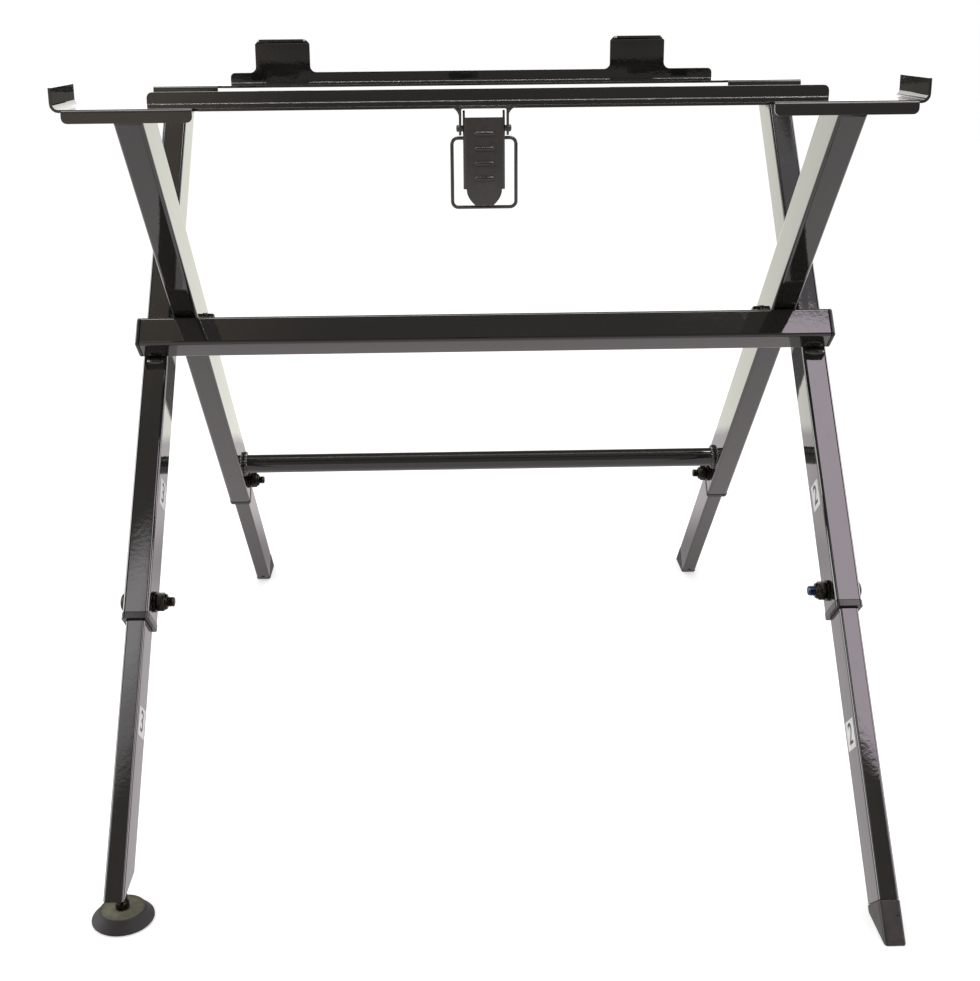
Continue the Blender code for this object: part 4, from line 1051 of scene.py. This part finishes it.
# what the gloss paint mirrors: limits in direction X, Y and Z, softness, colour and strength
room = [
    # dark room on the camera's side, warmer on the left
    ((-0.55, 0.38), (-2, 0.3), (-2, 2), 0.12, "#fdf3e8", 0.24),
    ((-0.55, -0.14), (-2, -0.7), (-0.5, 0.4), 0.06, "#ffedd8", 0.36),
    ((-0.45, -0.12), (-0.36, -0.1), (0.7, 2), 0.05, "#ffe8cc", 0.18),
    # paper behind the stand: dim all over, white below the horizon and just above it
    ((-2, 2), (0.3, 2), (-2, 2), 0.12, "#fdf6ea", 0.12),
    ((-2, 2), (0.3, 2), (-2, -0.065), 0.012, "#fffff4", 0.98),
    ((-2, 2), (0.3, 2), (0.022, 0.30), 0.02, "#fffdf8", 1.25),
    # softbox overhead, and a weaker one in front of it on the right
    ((-0.8, 0.8), (-0.14, 0.04), (0.85, 2), 0.02, "#ffffff", 9.0),
    ((0.16, 0.60), (-0.33, -0.20), (0.85, 2), 0.012, "#e6e4f2", 0.55),
    # softboxes above the camera, right and left, the left one in two steps
    ((0.218, 0.60), (-0.584, -0.331), (0.5, 0.97), 0.009, "#fff0fe", 3.5),
    ((-0.60, -0.17), (-0.592, -0.475), (0.5, 0.93), 0.02, "#fffcff", 1.0),
    ((-0.60, -0.17), (-0.548, -0.475), (0.5, 0.93), 0.025, "#fffcff", 0.95),
    # strip lights at both sides
    ((-2, -0.80), (-0.3, 0.45), (0.05, 0.48), 0.05, "#ffffff", 5.0),
    ((0.80, 2), (-0.3, 0.45), (0.05, 0.48), 0.05, "#fff6ff", 4.2),
]

lamps = {
    "keyLamp": {"place": (-1.3, -1.6, 2.3), "size": (0.9, 0.9), "power": 17, "colour": (1, 1, 1)},
    "fillLamp": {"place": (1.7, -1.3, 1.6), "size": (0.7, 1.2), "power": 9, "colour": (0.95, 0.9, 1.0)},
    "topLamp": {"place": (0, 0.6, 2.4), "size": (1.6, 1.0), "power": 9, "colour": (1, 1, 1)},
}
lampTarget = Vector((0, 0, 0.3))


def addFloor():
    deselectAll()
    bpy.ops.mesh.primitive_plane_add(size=studio["floorSize"], location=studio["floorMiddle"])
    floor = settle(bpy.context.object)
    floor.name = "floor"
    made, tree, shader, place = newMaterial("studioFloor", {})
    tree.nodes.remove(shader)
    parts = addNode(tree, "ShaderNodeSeparateXYZ", Vector=place)
    start, soft = studio["sweepStart"], studio["sweepSoft"]
    rise = addRange(tree, parts.outputs["Y"], 0.0, 1.0, start - soft, start + soft)
    (nearColour, nearStrength), (farColour, farStrength) = studio["nearPaper"], studio["farPaper"]
    paper = addNode(tree, "ShaderNodeBsdfDiffuse", {"Color": linear(studio["floor"])})
    glow = addNode(tree, "ShaderNodeEmission", {"Color": grey(1), "Strength": studio["floorGlow"]})
    # the paper under each rear foot lies in the leg's shade
    across = addNode(tree, "ShaderNodeMath", {"operation": "ABSOLUTE"}, i0=parts.outputs["X"])
    beside = addNode(tree, "ShaderNodeCombineXYZ", {"Z": 0.0}, X=across.outputs["Value"],
                     Y=parts.outputs["Y"])
    away = addNode(tree, "ShaderNodeVectorMath", {"operation": "DISTANCE", 1: studio["shadeMiddle"]},
                   i0=beside.outputs["Vector"])
    inside, outside = studio["shadeReach"]
    shade = addNode(tree, "ShaderNodeMapRange",
                    {"interpolation_type": "SMOOTHSTEP", 1: inside, 2: outside,
                     3: 1 - studio["footShade"], 4: 1.0}, Value=away.outputs["Value"])
    level = addNode(tree, "ShaderNodeMath", {"operation": "MULTIPLY", 1: nearStrength},
                    i0=shade.outputs["Result"])
    nearer = addNode(tree, "ShaderNodeEmission", {"Color": linear(nearColour)},
                     Strength=level.outputs["Value"])
    farther = addNode(tree, "ShaderNodeEmission", {"Color": linear(farColour), "Strength": farStrength})
    mirrored = addNode(tree, "ShaderNodeMixShader", Fac=rise, i1=nearer.outputs["Emission"],
                       i2=farther.outputs["Emission"])
    seen = addNode(tree, "ShaderNodeLightPath")
    lit = addNode(tree, "ShaderNodeAddShader", i0=paper.outputs["BSDF"], i1=glow.outputs["Emission"])
    direct = addNode(tree, "ShaderNodeMixShader", Fac=seen.outputs["Is Camera Ray"],
                     i1=paper.outputs["BSDF"], i2=lit.outputs["Shader"])
    pick = addNode(tree, "ShaderNodeMixShader", Fac=seen.outputs["Is Glossy Ray"],
                   i1=direct.outputs["Shader"], i2=mirrored.outputs["Shader"])
    tree.links.new(pick.outputs["Shader"], tree.nodes["Material Output"].inputs["Surface"])
    coat(floor, made)


def lightWindow(tree, parts, limits, soft, colour, strength):
    # one soft edged window of light, as a colour; a limit of 2 is no limit
    total = None
    for axis, (low, high) in zip("XYZ", limits):
        for limit, before, after in ((low, 0.0, 1.0), (high, 1.0, 0.0)):
            if abs(limit) == 2:
                continue
            step = addNode(tree, "ShaderNodeMapRange",
                           {"interpolation_type": "SMOOTHSTEP", 1: limit - soft, 2: limit + soft,
                            3: before, 4: after}, Value=parts.outputs[axis])
            edge = step.outputs["Result"]
            total = edge if total is None else addProduct(tree, total, edge)
    tint = [value * strength for value in linear(colour)[:3]]
    scaled = addNode(tree, "ShaderNodeVectorMath", {"operation": "SCALE", 0: tint}, Scale=total)
    return scaled.outputs["Vector"]


def addWorld():
    world = bpy.data.worlds.new("studio")
    bpy.context.scene.world = world
    world.use_nodes = True
    tree = world.node_tree
    tree.nodes.clear()
    seen = addNode(tree, "ShaderNodeLightPath")
    way = addNode(tree, "ShaderNodeTexCoord")
    parts = addNode(tree, "ShaderNodeSeparateXYZ", Vector=way.outputs["Generated"])
    glow = None
    for *limits, soft, colour, strength in room:
        window = lightWindow(tree, parts, limits, soft, colour, strength)
        glow = window if glow is None else addNode(
            tree, "ShaderNodeVectorMath", {"operation": "ADD"}, i0=glow, i1=window).outputs["Vector"]
    glossy = addNode(tree, "ShaderNodeBackground", {"Strength": 1.0}, Color=glow)
    soft = addNode(tree, "ShaderNodeBackground", {"Color": grey(1), "Strength": studio["ambient"]})
    white = addNode(tree, "ShaderNodeBackground", {"Color": grey(1), "Strength": 1.0})
    first = addNode(tree, "ShaderNodeMixShader", Fac=seen.outputs["Is Glossy Ray"],
                    i1=soft.outputs["Background"], i2=glossy.outputs["Background"])
    second = addNode(tree, "ShaderNodeMixShader", Fac=seen.outputs["Is Camera Ray"],
                     i1=first.outputs["Shader"], i2=white.outputs["Background"])
    addNode(tree, "ShaderNodeOutputWorld", Surface=second.outputs["Shader"])


def addLamp(name, place, size, power, colour):
    data = bpy.data.lights.new(name, "AREA")
    data.shape = "RECTANGLE"
    data.size, data.size_y = size
    data.energy = power
    data.color = colour
    lamp = bpy.data.objects.new(name, data)
    bpy.context.scene.collection.objects.link(lamp)
    lamp.location = place
    lamp.rotation_euler = (lampTarget - Vector(place)).to_track_quat("-Z", "Y").to_euler()
    lamp.visible_glossy = False  # the gloss mirrors the room above instead


addFloor()
addWorld()
for name, settings in lamps.items():
    addLamp(name, **settings)
bpy.context.scene.view_settings.view_transform = "Standard"
print("studio set")
